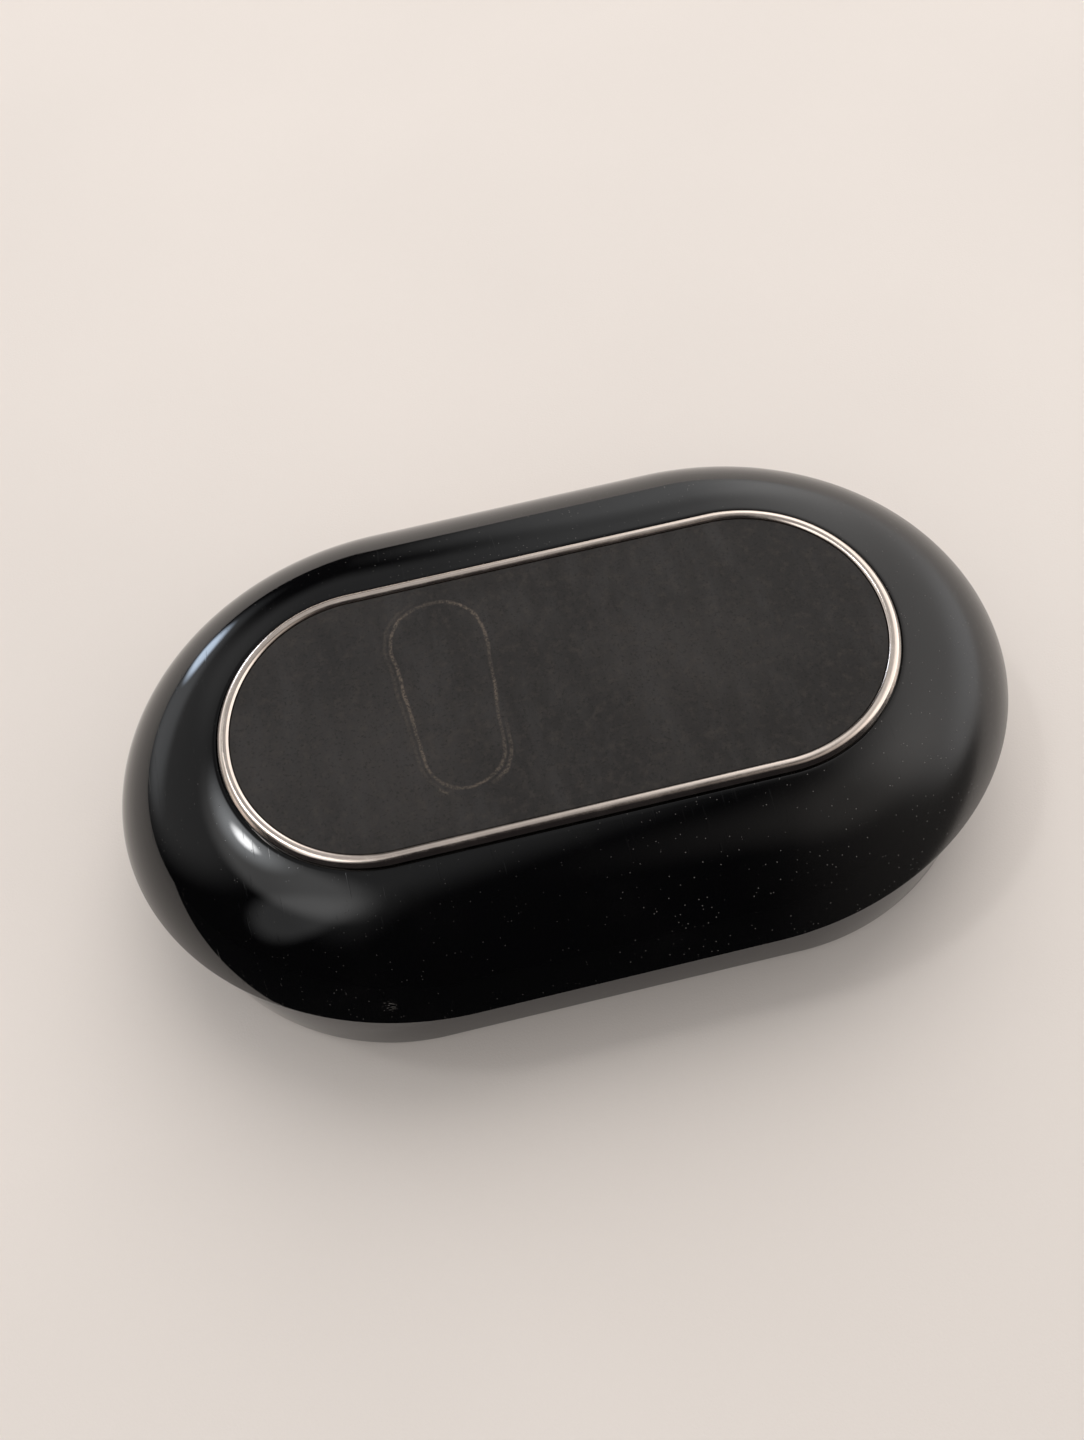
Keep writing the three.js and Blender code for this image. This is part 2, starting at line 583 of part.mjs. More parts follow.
addEach('strike_screw', repeat(() => screw(STRIKE_SCREW), facing.back, strikeScrews), STEEL, 0.3, 1);

export default model;
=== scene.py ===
"""Hard case with round ends: gloss black lid and base, matt panel in a nickel ring, cloth lining."""

import json
import math

import bpy
from mathutils import Matrix, Vector, noise


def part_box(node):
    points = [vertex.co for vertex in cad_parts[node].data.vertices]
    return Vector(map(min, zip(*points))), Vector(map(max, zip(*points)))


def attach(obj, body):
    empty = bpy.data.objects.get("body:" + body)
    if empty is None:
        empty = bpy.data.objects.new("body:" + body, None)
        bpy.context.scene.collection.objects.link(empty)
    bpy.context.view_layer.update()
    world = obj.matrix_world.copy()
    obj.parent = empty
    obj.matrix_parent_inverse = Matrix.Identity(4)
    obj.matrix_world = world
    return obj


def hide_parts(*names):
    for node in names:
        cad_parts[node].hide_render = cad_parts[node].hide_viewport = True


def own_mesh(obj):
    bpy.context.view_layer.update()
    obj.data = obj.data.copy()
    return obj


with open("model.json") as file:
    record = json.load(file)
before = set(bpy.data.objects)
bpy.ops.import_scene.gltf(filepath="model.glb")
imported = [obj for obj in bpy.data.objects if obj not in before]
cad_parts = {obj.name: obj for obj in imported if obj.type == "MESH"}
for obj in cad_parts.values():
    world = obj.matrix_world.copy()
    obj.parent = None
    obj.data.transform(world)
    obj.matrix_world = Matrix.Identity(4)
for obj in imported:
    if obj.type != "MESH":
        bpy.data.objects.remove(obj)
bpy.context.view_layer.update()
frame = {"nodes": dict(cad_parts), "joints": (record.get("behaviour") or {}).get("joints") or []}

bl_info = {
    "name": "Hinged Hard Case",
    "version": (1, 0, 0),
    "blender": (4, 5, 0),
    "location": "3D View > Sidebar > Case",
    "description": "Builds the visible pieces of a hinged hard case around its packed frame",
    "category": "Add Mesh",
}

# ------------------------------------------------------------------ places taken from the frame

MM = 0.001


def middle(node):
    """Middle of a frame node's box."""
    low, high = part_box(node)
    return (low + high) / 2


def half_size(node):
    """Half the size of a frame node's box along each axis."""
    low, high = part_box(node)
    return (high - low) / 2


PLAN_Y = middle("base_shell").y
BASE_RADIUS = half_size("base_shell").y
HALF_STRAIGHT = half_size("base_shell").x - BASE_RADIUS
RIM_RADIUS = half_size("lid_shell").y
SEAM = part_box("lid_shell")[0].z
LID_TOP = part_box("lid_shell")[1].z
RING_RADIUS = half_size("trim_ring").y
RING_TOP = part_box("trim_ring")[1].z
PANEL_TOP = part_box("top_panel")[1].z
HINGE = next(Vector(j["pos_m"]) for j in frame["joints"] if j["name"] == "lid_hinge")
PIN_RADIUS = half_size("hinge_pin").z

KNUCKLES = 5
PUSH_NUTS = 8
SPIN_STEPS = 192
OVERRUN = 1.0 * MM      # how far a cutter runs past the face it opens
NICK = Vector((-36.3, -41.6, 24.7)) * MM


# ------------------------------------------------------------------ values a user would change


def length(name, description, default):
    """A length property, in metres."""
    return bpy.props.FloatProperty(
        name=name, description=description, default=default, min=0.0, unit="LENGTH",
        subtype="DISTANCE", precision=5)


def colour(name, description, default):
    """A colour property."""
    return bpy.props.FloatVectorProperty(
        name=name, description=description, default=default, size=3, min=0.0, max=1.0,
        subtype="COLOR")


def shift(name, description, default):
    """A distance that may point either way, in metres."""
    return bpy.props.FloatProperty(
        name=name, description=description, default=default, unit="LENGTH", subtype="DISTANCE",
        precision=5)


def strength(name, description, default, **more):
    """A brightness or power property."""
    return bpy.props.FloatProperty(
        name=name, description=description, default=default, min=0.0, **more)


def angle(name, description, degrees):
    """An angle property, given in degrees."""
    return bpy.props.FloatProperty(
        name=name, description=description, default=math.radians(degrees), unit="ROTATION",
        subtype="ANGLE")


class CaseSizes(bpy.types.PropertyGroup):
    """Wall, edge and trim sizes of the case."""

    lid_wall: length("Lid Wall", "Thickness of the lid's domed wall", 2.6 * MM)
    rim_pinch: length("Rim Pinch", "How much shorter the straight is at the lid's rim", 6.8 * MM)
    rim_round: length("Rim Round", "Radius of the lid's lower edge", 0.8 * MM)
    shoulder: length("Shoulder", "Section radius of the lid's shoulder", 23.1 * MM)
    shoulder_start: angle("Shoulder Start", "Slope of the shoulder beside the ring", 4.0)
    shoulder_end: angle("Shoulder End", "Slope of the shoulder at the rim", 70.0)
    recess: length("Recess", "Depth of the recess in the crown", 1.2 * MM)
    crown: length("Crown", "Thickness of the crown under the recess", 2.2 * MM)
    base_wall: length("Base Wall", "Thickness of the base wall", 3.5 * MM)
    tongue: length("Tongue", "Thickness of the tongue inside the lid", 1.5 * MM)
    foot_round: length("Foot Round", "Radius of the base's lower edge", 0.5 * MM)
    gap: length("Gap", "Clearance between neighbouring pieces", 0.3 * MM)
    tray: length("Tray", "Thickness of the flocked lining", 1.2 * MM)
    lid_pad: length("Lid Pad", "Thickness of the lid's padding", 1.4 * MM)
    ring_width: length("Ring Width", "Width of the trim ring", 1.95 * MM)
    edge: length("Edge", "Rounding of moulded corners", 0.12 * MM)
    leaf: length("Hinge Leaf", "Thickness of the hinge leaves", 1.0 * MM)
    pin_play: length("Pin Play", "Clearance round the hinge pin", 0.12 * MM)
    screw_head: length("Screw Head", "Radius of the screws' heads", 1.2 * MM)
    screw_shank: length("Screw Shank", "Radius of the screws' threads", 0.55 * MM)


class CaseColours(bpy.types.PropertyGroup):
    """Colours of the case's finishes."""

    black: colour("Black", "Gloss moulded black", (0.0012, 0.0012, 0.0014))
    dust: colour("Dust", "Dust on the gloss", (0.16, 0.15, 0.14))
    panel: colour("Panel", "Matt panel", (0.0150, 0.0130, 0.0120))
    panel_worn: colour("Panel Worn", "Matt panel where it is rubbed pale", (0.029, 0.0255, 0.0235))
    panel_wear: colour("Panel Wear", "Rubbed line on the panel", (0.118, 0.093, 0.073))
    panel_streak: colour("Panel Streak", "Pale streaks on the panel", (0.034, 0.031, 0.030))
    panel_mottle: colour("Panel Mottle", "Brown mottling on the panel", (0.043, 0.036, 0.031))
    panel_grain: colour("Panel Grain", "Dark grain on the panel", (0.006, 0.0055, 0.005))
    panel_pit: colour("Panel Pit", "Pits in the panel", (0.0015, 0.0015, 0.0015))
    panel_lint: colour("Panel Lint", "Lint on the panel", (0.19, 0.18, 0.16))
    nickel: colour("Nickel", "Polished trim", (0.93, 0.81, 0.72))
    steel: colour("Steel", "Pins, springs and screws", (0.56, 0.57, 0.58))
    brass: colour("Brass", "Turned plug", (0.62, 0.45, 0.19))
    lining: colour("Lining", "Flock and padded cloth", (0.058, 0.008, 0.016))
    board: colour("Board", "Fibre board behind the padding", (0.17, 0.135, 0.10))
    sole: colour("Sole", "Rubber under the base", (0.014, 0.014, 0.014))
    floor: colour("Floor", "Pale cloth-coloured floor", (0.80, 0.735, 0.685))


class StageSettings(bpy.types.PropertyGroup):
    """Camera and light."""

    lens: bpy.props.FloatProperty(
        name="Lens", description="Focal length for a 36 mm sensor", default=33.0, unit="CAMERA")
    azimuth: angle("Azimuth", "Camera round the case, 0 from the front", -5.687)
    elevation: angle("Elevation", "Camera above the floor", 63.530)
    roll: angle("Roll", "Camera turned about its own axis", -7.885)
    distance: length("Distance", "Camera from the point it is aimed past", 239.98 * MM)
    beside: shift("Beside", "Camera moved along its own X", -4.937 * MM)
    above: shift("Above", "Camera moved along its own Y", 9.635 * MM)
    ambient: strength("Ambient", "Brightness of the plain dome", 0.62)
    lamp: strength("Lamp", "Soft lamp behind the case", 7.7, unit="POWER")
    window: strength("Window", "Reflected brightness of the right-hand window", 1.0)
    skylight: strength("Skylight", "Reflected brightness of the left-hand window", 1.0)


# ------------------------------------------------------------------ modelling helpers


def deselect():
    """Leave nothing selected: the frame's nodes arrive selected."""
    bpy.ops.object.select_all(action="DESELECT")


def activate(*pieces):
    """Select these pieces and make the first one active."""
    deselect()
    for piece in pieces:
        piece.select_set(True)
    bpy.context.view_layer.objects.active = pieces[0]


def named(name):
    """Name the piece that an operator has just added."""
    piece = bpy.context.active_object
    piece.name = piece.data.name = name
    return piece


def select_vertices(piece, wanted):
    """Select the vertices whose place passes a test, and nothing else."""
    bpy.context.tool_settings.mesh_select_mode = (True, False, False)
    for element in (*piece.data.edges, *piece.data.polygons):
        element.select = False
    for vertex in piece.data.vertices:
        vertex.select = wanted(vertex.co)


def apply_modifiers(piece):
    """Apply every modifier, first to last."""
    activate(piece)
    for modifier in list(piece.modifiers):
        bpy.ops.object.modifier_apply(modifier=modifier.name)


def settle(piece):
    """Put a piece's place into its mesh, so that the object sits at the origin."""
    activate(piece)
    bpy.ops.object.transform_apply(location=True, rotation=True, scale=True)
    return piece


def smooth(piece, degrees):
    """Smooth shading that keeps the corners sharper than an angle."""
    activate(piece)
    bpy.ops.object.shade_smooth_by_angle(angle=math.radians(degrees))


def arc(radius, height, size, start, stop, steps):
    """Points on a section arc; degrees, 0 outwards and 90 up."""
    points = []
    for i in range(steps + 1):
        turn = math.radians(start + (stop - start) * i / steps)
        points.append((radius + size * math.cos(turn), height + size * math.sin(turn)))
    return points


def softened(section, size, closed=True, corner=30.0, steps=4):
    """Round each sharp corner of a section with a small curve."""
    soft = []
    count = len(section)
    for i, place in enumerate(section):
        if not closed and i in (0, count - 1):
            soft.append(place)
            continue
        here = Vector(place)
        before = Vector(section[i - 1]) - here
        after = Vector(section[(i + 1) % count]) - here
        turn = math.degrees(math.pi - before.angle(after))
        reach = min(size, 0.4 * before.length, 0.4 * after.length)
        if turn < corner or reach <= 0.0:
            soft.append(place)
            continue
        start, stop = here + before.normalized() * reach, here + after.normalized() * reach
        for k in range(steps + 1):
            t = k / steps
            point = start * (1 - t) ** 2 + here * 2 * t * (1 - t) + stop * t * t
            soft.append(tuple(point))
    return soft


def turned(name, section, centre=(0.0, 0.0), steps=48):
    """Spin a section of radius and height about an upright axis.

    A section that starts and ends on the axis makes a solid; any other one is a closed loop.
    """
    deselect()
    bpy.ops.mesh.primitive_circle_add(vertices=len(section), radius=MM, fill_type="NOTHING")
    piece = named(name)
    turn = math.pi / steps
    for vertex, (radius, height) in zip(piece.data.vertices, section):
        vertex.co = (
            centre[0] + radius * math.cos(turn), centre[1] + radius * math.sin(turn), height)
    settle(piece)
    bpy.ops.object.mode_set(mode="EDIT")
    bpy.ops.mesh.select_all(action="SELECT")
    bpy.ops.mesh.spin(
        steps=steps, angle=2 * math.pi, center=(*centre, 0.0), axis=(0.0, 0.0, 1.0))
    bpy.ops.mesh.select_all(action="SELECT")
    bpy.ops.mesh.remove_doubles(threshold=1e-7)
    bpy.ops.mesh.delete_loose()
    bpy.ops.mesh.select_all(action="SELECT")
    bpy.ops.mesh.normals_make_consistent(inside=False)
    bpy.ops.object.mode_set(mode="OBJECT")
    return piece


def spun(name, section, steps=SPIN_STEPS):
    """Spin a section about the case's middle and draw the two halves apart along X."""
    piece = turned(name, section, (0.0, PLAN_Y), steps)
    for side in (-1, 1):
        select_vertices(piece, lambda co: side * co.x > 1e-6)
        bpy.ops.object.mode_set(mode="EDIT")
        bpy.ops.transform.translate(value=(side * HALF_STRAIGHT, 0.0, 0.0))
        bpy.ops.object.mode_set(mode="OBJECT")
    return piece


def box_between(name, low, high):
    """A box between two corners."""
    deselect()
    low, high = Vector(low), Vector(high)
    bpy.ops.mesh.primitive_cube_add(size=1.0, location=(low + high) / 2)
    piece = named(name)
    piece.scale = high - low
    return settle(piece)


def rod(name, radius, start, stop, sides=48):
    """A round bar from one point to another."""
    deselect()
    start, stop = Vector(start), Vector(stop)
    along = stop - start
    bpy.ops.mesh.primitive_cylinder_add(
        vertices=sides, radius=radius, depth=along.length, location=(start + stop) / 2,
        rotation=along.to_track_quat("Z", "Y").to_euler())
    return settle(named(name))


def shape_with(piece, operation, *tools):
    """Join tools to a piece or cut them from it, and remove the tools."""
    for tool in tools:
        modifier = piece.modifiers.new(tool.name, "BOOLEAN")
        modifier.operation = operation
        modifier.solver = "EXACT"
        modifier.object = tool
    apply_modifiers(piece)
    for tool in tools:
        bpy.data.objects.remove(tool)


def cut(piece, *tools):
    """Cut tools from a piece."""
    shape_with(piece, "DIFFERENCE", *tools)


def fuse(piece, *tools):
    """Join tools to a piece."""
    shape_with(piece, "UNION", *tools)


def room_round(name, node, space, *reaches):
    """Cutter the size of a node's box and a space round it; each reach is (corner, axis, place)."""
    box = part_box(node)
    corners = [box[0] - Vector((space,) * 3), box[1] + Vector((space,) * 3)]
    for corner, axis, place in reaches:
        corners[corner][axis] = place
    return box_between(name, *corners)


def soften_edges(piece, width, segments=2):
    """Round every corner sharper than 40 degrees."""
    modifier = piece.modifiers.new("Edges", "BEVEL")
    modifier.width = width
    modifier.segments = segments
    modifier.limit_method = "ANGLE"
    modifier.angle_limit = math.radians(40)
    modifier.use_clamp_overlap = True
    apply_modifiers(piece)


def renamed(piece, name):
    """Rename a piece and its mesh."""
    piece.name = piece.data.name = name
    return piece


def copy_of(piece, name, place, turn=(0.0, 0.0, 0.0)):
    """A copy with its own mesh, turned about the origin and then moved to its place."""
    twin = piece.copy()
    twin.data = piece.data.copy()
    renamed(twin, name)
    bpy.context.scene.collection.objects.link(twin)
    twin.location = place
    twin.rotation_euler = turn
    return settle(twin)


def finish_piece(piece, finish, body, node, crease=32):
    """Shade a piece, give it its finish, hang it on what it rides on and hide the frame node that it stands
    for.
    """
    smooth(piece, crease)
    piece.data.materials.clear()
    piece.data.materials.append(finish_named(finish))
    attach(piece, body)
    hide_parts(node)


# ------------------------------------------------------------------ finishes


class Finish:
    """A material being made from nodes around one Principled shader."""

    def __init__(self, name, **surface):
        self.material = bpy.data.materials.new(name)
        self.material.use_nodes = True
        self.tree = self.material.node_tree
        self.shader = self.tree.nodes["Principled BSDF"]
        for socket, value in surface.items():
            self.shader.inputs[socket.replace("_", " ")].default_value = value
        self.place = self.add("ShaderNodeTexCoord").outputs["Object"]

    def add(self, kind, **settings):
        """Add a node and set its options."""
        node = self.tree.nodes.new(kind)
        for key, value in settings.items():
            setattr(node, key, value)
        return node

    def feed(self, socket, value):
        """Link a socket, or set it when the value is a plain one."""
        if isinstance(value, bpy.types.NodeSocket):
            self.tree.links.new(value, socket)
        elif value is not None:
            socket.default_value = value

    def sum(self, operation, first, second=None, third=None):
        """One Math node."""
        node = self.add("ShaderNodeMath", operation=operation)
        for socket, value in zip(node.inputs, (first, second, third)):
            self.feed(socket, value)
        return node.outputs[0]

    def vector(self, operation, first, second=None):
        """One Vector Math node."""
        node = self.add("ShaderNodeVectorMath", operation=operation)
        for socket, value in zip(node.inputs, (first, second)):
            self.feed(socket, value)
        return node.outputs["Value" if operation in ("LENGTH", "DOT_PRODUCT") else "Vector"]

    def split(self, vector):
        """X and Y of a vector."""
        node = self.add("ShaderNodeSeparateXYZ")
        self.feed(node.inputs[0], vector)
        return node.outputs["X"], node.outputs["Y"]

    def stretched(self, scale, turn=(0.0, 0.0, 0.0)):
        """Coordinates scaled and turned by a Mapping node."""
        node = self.add("ShaderNodeMapping")
        self.feed(node.inputs["Vector"], self.place)
        node.inputs["Rotation"].default_value = turn
        node.inputs["Scale"].default_value = scale
        return node.outputs["Vector"]

    def noise(self, scale, detail=3.0, roughness=0.55, place=None):
        """Noise, per metre."""
        node = self.add("ShaderNodeTexNoise")
        self.feed(node.inputs["Vector"], place or self.place)
        node.inputs["Scale"].default_value = scale
        node.inputs["Detail"].default_value = detail
        node.inputs["Roughness"].default_value = roughness
        return node.outputs["Fac"]

    def cells(self, scale, place=None):
        """Scattered points: the distance to the nearest, in cell widths, and its own colour."""
        node = self.add("ShaderNodeTexVoronoi")
        self.feed(node.inputs["Vector"], place or self.place)
        node.inputs["Scale"].default_value = scale
        return node

    def band(self, value, low, high, start=0.0, stop=1.0, kind="SMOOTHSTEP"):
        """Map Range from low..high to start..stop."""
        node = self.add("ShaderNodeMapRange", interpolation_type=kind)
        for socket, number in zip(node.inputs, (value, low, high, start, stop)):
            self.feed(socket, number)
        return node.outputs["Result"]

    def blend(self, amount, first, second):
        """Mix two colours."""
        node = self.add("ShaderNodeMix", data_type="RGBA")
        self.feed(node.inputs["Factor"], amount)
        for socket, value in zip([s for s in node.inputs if s.type == "RGBA"], (first, second)):
            self.feed(socket, (*value, 1.0) if isinstance(value, tuple) else value)
        return next(s for s in node.outputs if s.type == "RGBA")

    def bump(self, height, distance, strength=1.0):
        """Bump from a height, with its distance in metres."""
        node = self.add("ShaderNodeBump")
        node.inputs["Strength"].default_value = strength
        node.inputs["Distance"].default_value = distance
        self.feed(node.inputs["Height"], height)
        self.feed(self.shader.inputs["Normal"], node.outputs["Normal"])

    def base(self, value):
        """Set or link the base colour."""
        value = (*value, 1.0) if isinstance(value, tuple) else value
        self.feed(self.shader.inputs["Base Color"], value)

    def rough(self, value):
        """Link the roughness."""
        self.feed(self.shader.inputs["Roughness"], value)


def specks(finish, scale, size, chance, place=None):
    """Small scattered spots: 1 inside a spot, in the share of the cells that chance gives."""
    cell = finish.cells(scale, place)
    near = finish.band(cell.outputs["Distance"], size, size * 0.35)
    pick = finish.vector("DOT_PRODUCT", cell.outputs["Color"], (0.5, 0.3, 0.2))
    return finish.sum("MULTIPLY", near, finish.band(pick, 1 - chance, 1 - chance + 0.02))


def most(finish, *values):
    """The largest of several values."""
    top = values[0]
    for value in values[1:]:
        top = finish.sum("MAXIMUM", top, value)
    return top


def gloss_black(name, end_paling, bend):
    """Piano-black moulding with dust, smudges and hairlines.

    The first number, from 0 to 1, makes the +X end paler and rougher in patches, and bend is the index of
    refraction.
    """
    colours = bpy.context.scene.case_colours
    finish = Finish(name, IOR=bend)
    smudge = finish.noise(55.0, 5.0, 0.62)
    cloud = finish.noise(16.0, 3.0, 0.5)

    # paler and rougher towards the +X end, in patches
    paler_end = finish.band(finish.split(finish.place)[0], 18 * MM, 56 * MM)
    paler_end = finish.sum("MULTIPLY", paler_end, finish.band(cloud, 0.30, 0.62, 0.55, 1.0))
    paler_end = finish.sum("MULTIPLY", paler_end, end_paling)

    fine = specks(finish, 2300.0, 0.27, 0.24)
    coarse = specks(finish, 560.0, 0.11, 0.07)
    fibres = specks(finish, 900.0, 0.20, 0.08, finish.stretched((1.0, 0.4, 1.0), (0.4, 0.2, 0.9)))
    spots = most(finish, fine, coarse, fibres)
    away = finish.vector("LENGTH", finish.vector("SUBTRACT", finish.place, tuple(NICK)))
    fray = finish.noise(1.0, 3.0, 0.6, finish.stretched((900.0, 2600.0, 2600.0), (0.0, 0.5, 0.6)))
    nick = finish.sum(
        "MULTIPLY", finish.band(away, 1.5 * MM, 0.2 * MM, 0.0, 0.7), finish.band(fray, 0.52, 0.66))
    cover = finish.sum("MULTIPLY", spots, finish.band(cloud, 0.34, 0.66, 0.05, 0.95))
    cover = most(finish, cover, nick)
    smudge_and_paler_end = finish.sum("MULTIPLY_ADD", paler_end, 0.085, finish.band(smudge, 0.5, 0.85, 0.0, 0.012))
    finish.base(finish.blend(
        finish.sum("ADD", cover, smudge_and_paler_end), tuple(colours.black), tuple(colours.dust)))

    rough = finish.band(smudge, 0.35, 0.8, 0.03, 0.085)
    rough = finish.sum("MULTIPLY_ADD", paler_end, 0.20, rough)
    finish.rough(finish.sum("MULTIPLY_ADD", cover, 0.45, rough))

    hairs = finish.noise(1.0, 2.0, 0.5, finish.stretched((2600.0, 90.0, 400.0), (0.0, 0.0, 0.55)))
    peel = finish.noise(210.0, 2.0, 0.5)
    height = finish.sum("MULTIPLY_ADD", peel, 1.6, finish.band(hairs, 0.66, 0.74))
    height = finish.sum("MULTIPLY_ADD", spots, 1.4, height)
    finish.bump(height, 0.0035 * MM)
    return finish.material


def rubbed_outline(finish, x, y, spread, width):
    """A rubbed line round the place where a small flat thing lay: 1 on the line.

    The outline runs round a larger circle at the top and a smaller one at the foot.
    """
    top, foot = Vector((-17.3, 10.9)) * MM, Vector((-16.9, -8.8)) * MM
    top_radius, foot_radius = 7.75 * MM, 6.25 * MM
    along = finish.band(y, foot.y, top.y, 0.0, 1.0, "LINEAR")
    beside = finish.sum("SUBTRACT", x, finish.band(along, 0.0, 1.0, foot.x, top.x, "LINEAR"))
    past = finish.sum("SUBTRACT", y, finish.band(along, 0.0, 1.0, foot.y, top.y, "LINEAR"))
    reach = finish.sum("SQRT", finish.sum(
        "ADD", finish.sum("MULTIPLY", beside, beside), finish.sum("MULTIPLY", past, past)))
    radius = finish.band(along, 0.0, 1.0, foot_radius + spread, top_radius + spread, "LINEAR")
    off = finish.sum("ABSOLUTE", finish.sum("SUBTRACT", reach, radius))
    return finish.band(off, width, width * 0.25)


def scratch(finish, x, y, start, stop, width):
    """A short straight scratch from one point to another: 1 on the line."""
    start, stop = Vector(start) * MM, Vector(stop) * MM
    along = (stop - start).normalized()
    centre = (start + stop) / 2
    east = finish.sum("SUBTRACT", x, centre.x)
    north = finish.sum("SUBTRACT", y, centre.y)
    run = finish.sum("MULTIPLY_ADD", east, along.x, finish.sum("MULTIPLY", north, along.y))
    off = finish.sum("MULTIPLY_ADD", east, -along.y, finish.sum("MULTIPLY", north, along.x))
    half = (stop - start).length / 2
    across = finish.band(finish.sum("ABSOLUTE", off), width, width * 0.3)
    return finish.sum("MULTIPLY", across, finish.band(finish.sum("ABSOLUTE", run), half, half * 0.6))


def matt_panel(name):
    """Matt near-black sheet: mottled, pitted, with a rubbed outline and a few light specks."""
    colours = bpy.context.scene.case_colours
    finish = Finish(name, IOR=1.45, Specular_IOR_Level=0.36)

    def jitter(scale, reach):
        """A small wandering shift within the sheet."""
        node = finish.add("ShaderNodeTexNoise")
        finish.feed(node.inputs["Vector"], finish.place)
        node.inputs["Scale"].default_value = scale
        off_centre = finish.vector("SUBTRACT", node.outputs["Color"], (0.5, 0.5, 0.5))
        return finish.vector("MULTIPLY", off_centre, (reach, reach, 0.0))

    moved = finish.vector("ADD", finish.place, jitter(95.0, 1.5 * MM))
    moved = finish.vector("ADD", moved, jitter(800.0, 0.35 * MM))
    x, from_origin = finish.split(moved)
    y = finish.sum("SUBTRACT", from_origin, PLAN_Y)

    first = rubbed_outline(finish, x, y, 0.0, 0.40 * MM)
    low_right = finish.sum(
        "MULTIPLY", finish.band(y, -3.0 * MM, -8.0 * MM), finish.band(x, -14.5 * MM, -12.0 * MM))
    left = finish.sum("MULTIPLY", finish.band(x, -19.0 * MM, -22.0 * MM), 0.32)
    second = finish.sum(
        "MULTIPLY", rubbed_outline(finish, x, y, 0.95 * MM, 0.42 * MM),
        most(finish, low_right, left))
    stroke = scratch(finish, x, y, (-22.2, -13.9), (-20.4, -15.4), 0.35 * MM)
    grit = finish.band(finish.noise(2600.0, 2.0, 0.6), 0.36, 0.62, 0.12, 1.0)
    patchy = finish.band(finish.noise(130.0, 2.0, 0.5), 0.30, 0.62, 0.42, 1.0)
    line = most(finish, first, finish.sum("MULTIPLY", second, 0.85), stroke)
    line = finish.sum("MULTIPLY", line, finish.sum("MULTIPLY", grit, patchy))

    broad = finish.noise(34.0, 5.0, 0.62)
    streaks = finish.noise(1.0, 4.0, 0.6, finish.stretched((260.0, 70.0, 100.0), (0.0, 0.0, -0.25)))
    mottle = finish.noise(620.0, 4.0, 0.7)
    grain = finish.noise(2400.0, 3.0, 0.65)
    pits = specks(finish, 520.0, 0.17, 0.14)
    lint = specks(finish, 600.0, 0.15, 0.07)
    layers = (
        (finish.band(broad, 0.36, 0.66, 0.0, 0.8), colours.panel_worn),
        (finish.band(streaks, 0.42, 0.72, 0.0, 0.5), colours.panel_streak),
        (finish.band(mottle, 0.46, 0.72, 0.0, 0.55), colours.panel_mottle),
        (finish.band(grain, 0.50, 0.72, 0.0, 0.7), colours.panel_grain),
        (finish.sum("MULTIPLY", line, 0.85), colours.panel_wear),
        (pits, colours.panel_pit),
        (finish.sum("MULTIPLY", lint, 0.7), colours.panel_lint),
    )
    tone = tuple(colours.panel)
    for amount, layer in layers:
        tone = finish.blend(amount, tone, tuple(layer))
    finish.base(tone)
    rough = finish.band(mottle, 0.3, 0.7, 0.50, 0.62)
    finish.rough(finish.sum("MULTIPLY_ADD", line, 0.12, rough))
    finish.bump(finish.sum("MULTIPLY_ADD", pits, -3.0, grain), 0.022 * MM, 0.8)
    return finish.material


def polished(name, tint, rough_low, rough_high, grain=(900.0, 900.0, 900.0), lift=0.002 * MM):
    """Polished or turned metal with fine wear; grain is its scale along each axis."""
    finish = Finish(name, Metallic=1.0)
    wear = finish.noise(320.0, 4.0, 0.65)
    stain = finish.noise(60.0, 3.0, 0.5)
    dark = tuple(channel * 0.72 for channel in tint)
    finish.base(finish.blend(finish.band(stain, 0.45, 0.8, 0.0, 0.35), tuple(tint), dark))
    finish.rough(finish.band(wear, 0.3, 0.75, rough_low, rough_high))
    finish.bump(finish.noise(1.0, 3.0, 0.6, finish.stretched(grain)), lift)
    return finish.material


def rubber(name):
    """Dull rubber with a fine leathery grain."""
    colours = bpy.context.scene.case_colours
    finish = Finish(name, IOR=1.5)
    grain = finish.noise(1400.0, 4.0, 0.6)
    dusty = finish.noise(45.0, 4.0, 0.6)
    grey = (0.06, 0.057, 0.053)
    finish.base(finish.blend(finish.band(dusty, 0.45, 0.8, 0.0, 0.3), tuple(colours.sole), grey))
    finish.rough(finish.band(grain, 0.3, 0.7, 0.62, 0.85))
    finish.bump(grain, 0.05 * MM)
    return finish.material


def flock(name):
    """Short-pile flocked cloth, brushed in drifts."""
    colours = bpy.context.scene.case_colours
    finish = Finish(
        name, Sheen_Weight=0.7, Sheen_Roughness=0.42, Sheen_Tint=(0.75, 0.32, 0.38, 1.0))
    pile = finish.noise(5200.0, 2.0, 0.6)
    drift = finish.noise(70.0, 4.0, 0.6)
    deep = tuple(channel * 0.45 for channel in colours.lining)
    tone = finish.blend(finish.band(drift, 0.35, 0.7), tuple(colours.lining), deep)
    tone = finish.blend(finish.band(pile, 0.4, 0.75, 0.0, 0.5), tone, (0.16, 0.03, 0.05))
    finish.base(tone)
    finish.rough(finish.band(drift, 0.3, 0.7, 0.82, 0.95))
    finish.bump(finish.sum("MULTIPLY_ADD", drift, 2.5, pile), 0.06 * MM)
    return finish.material


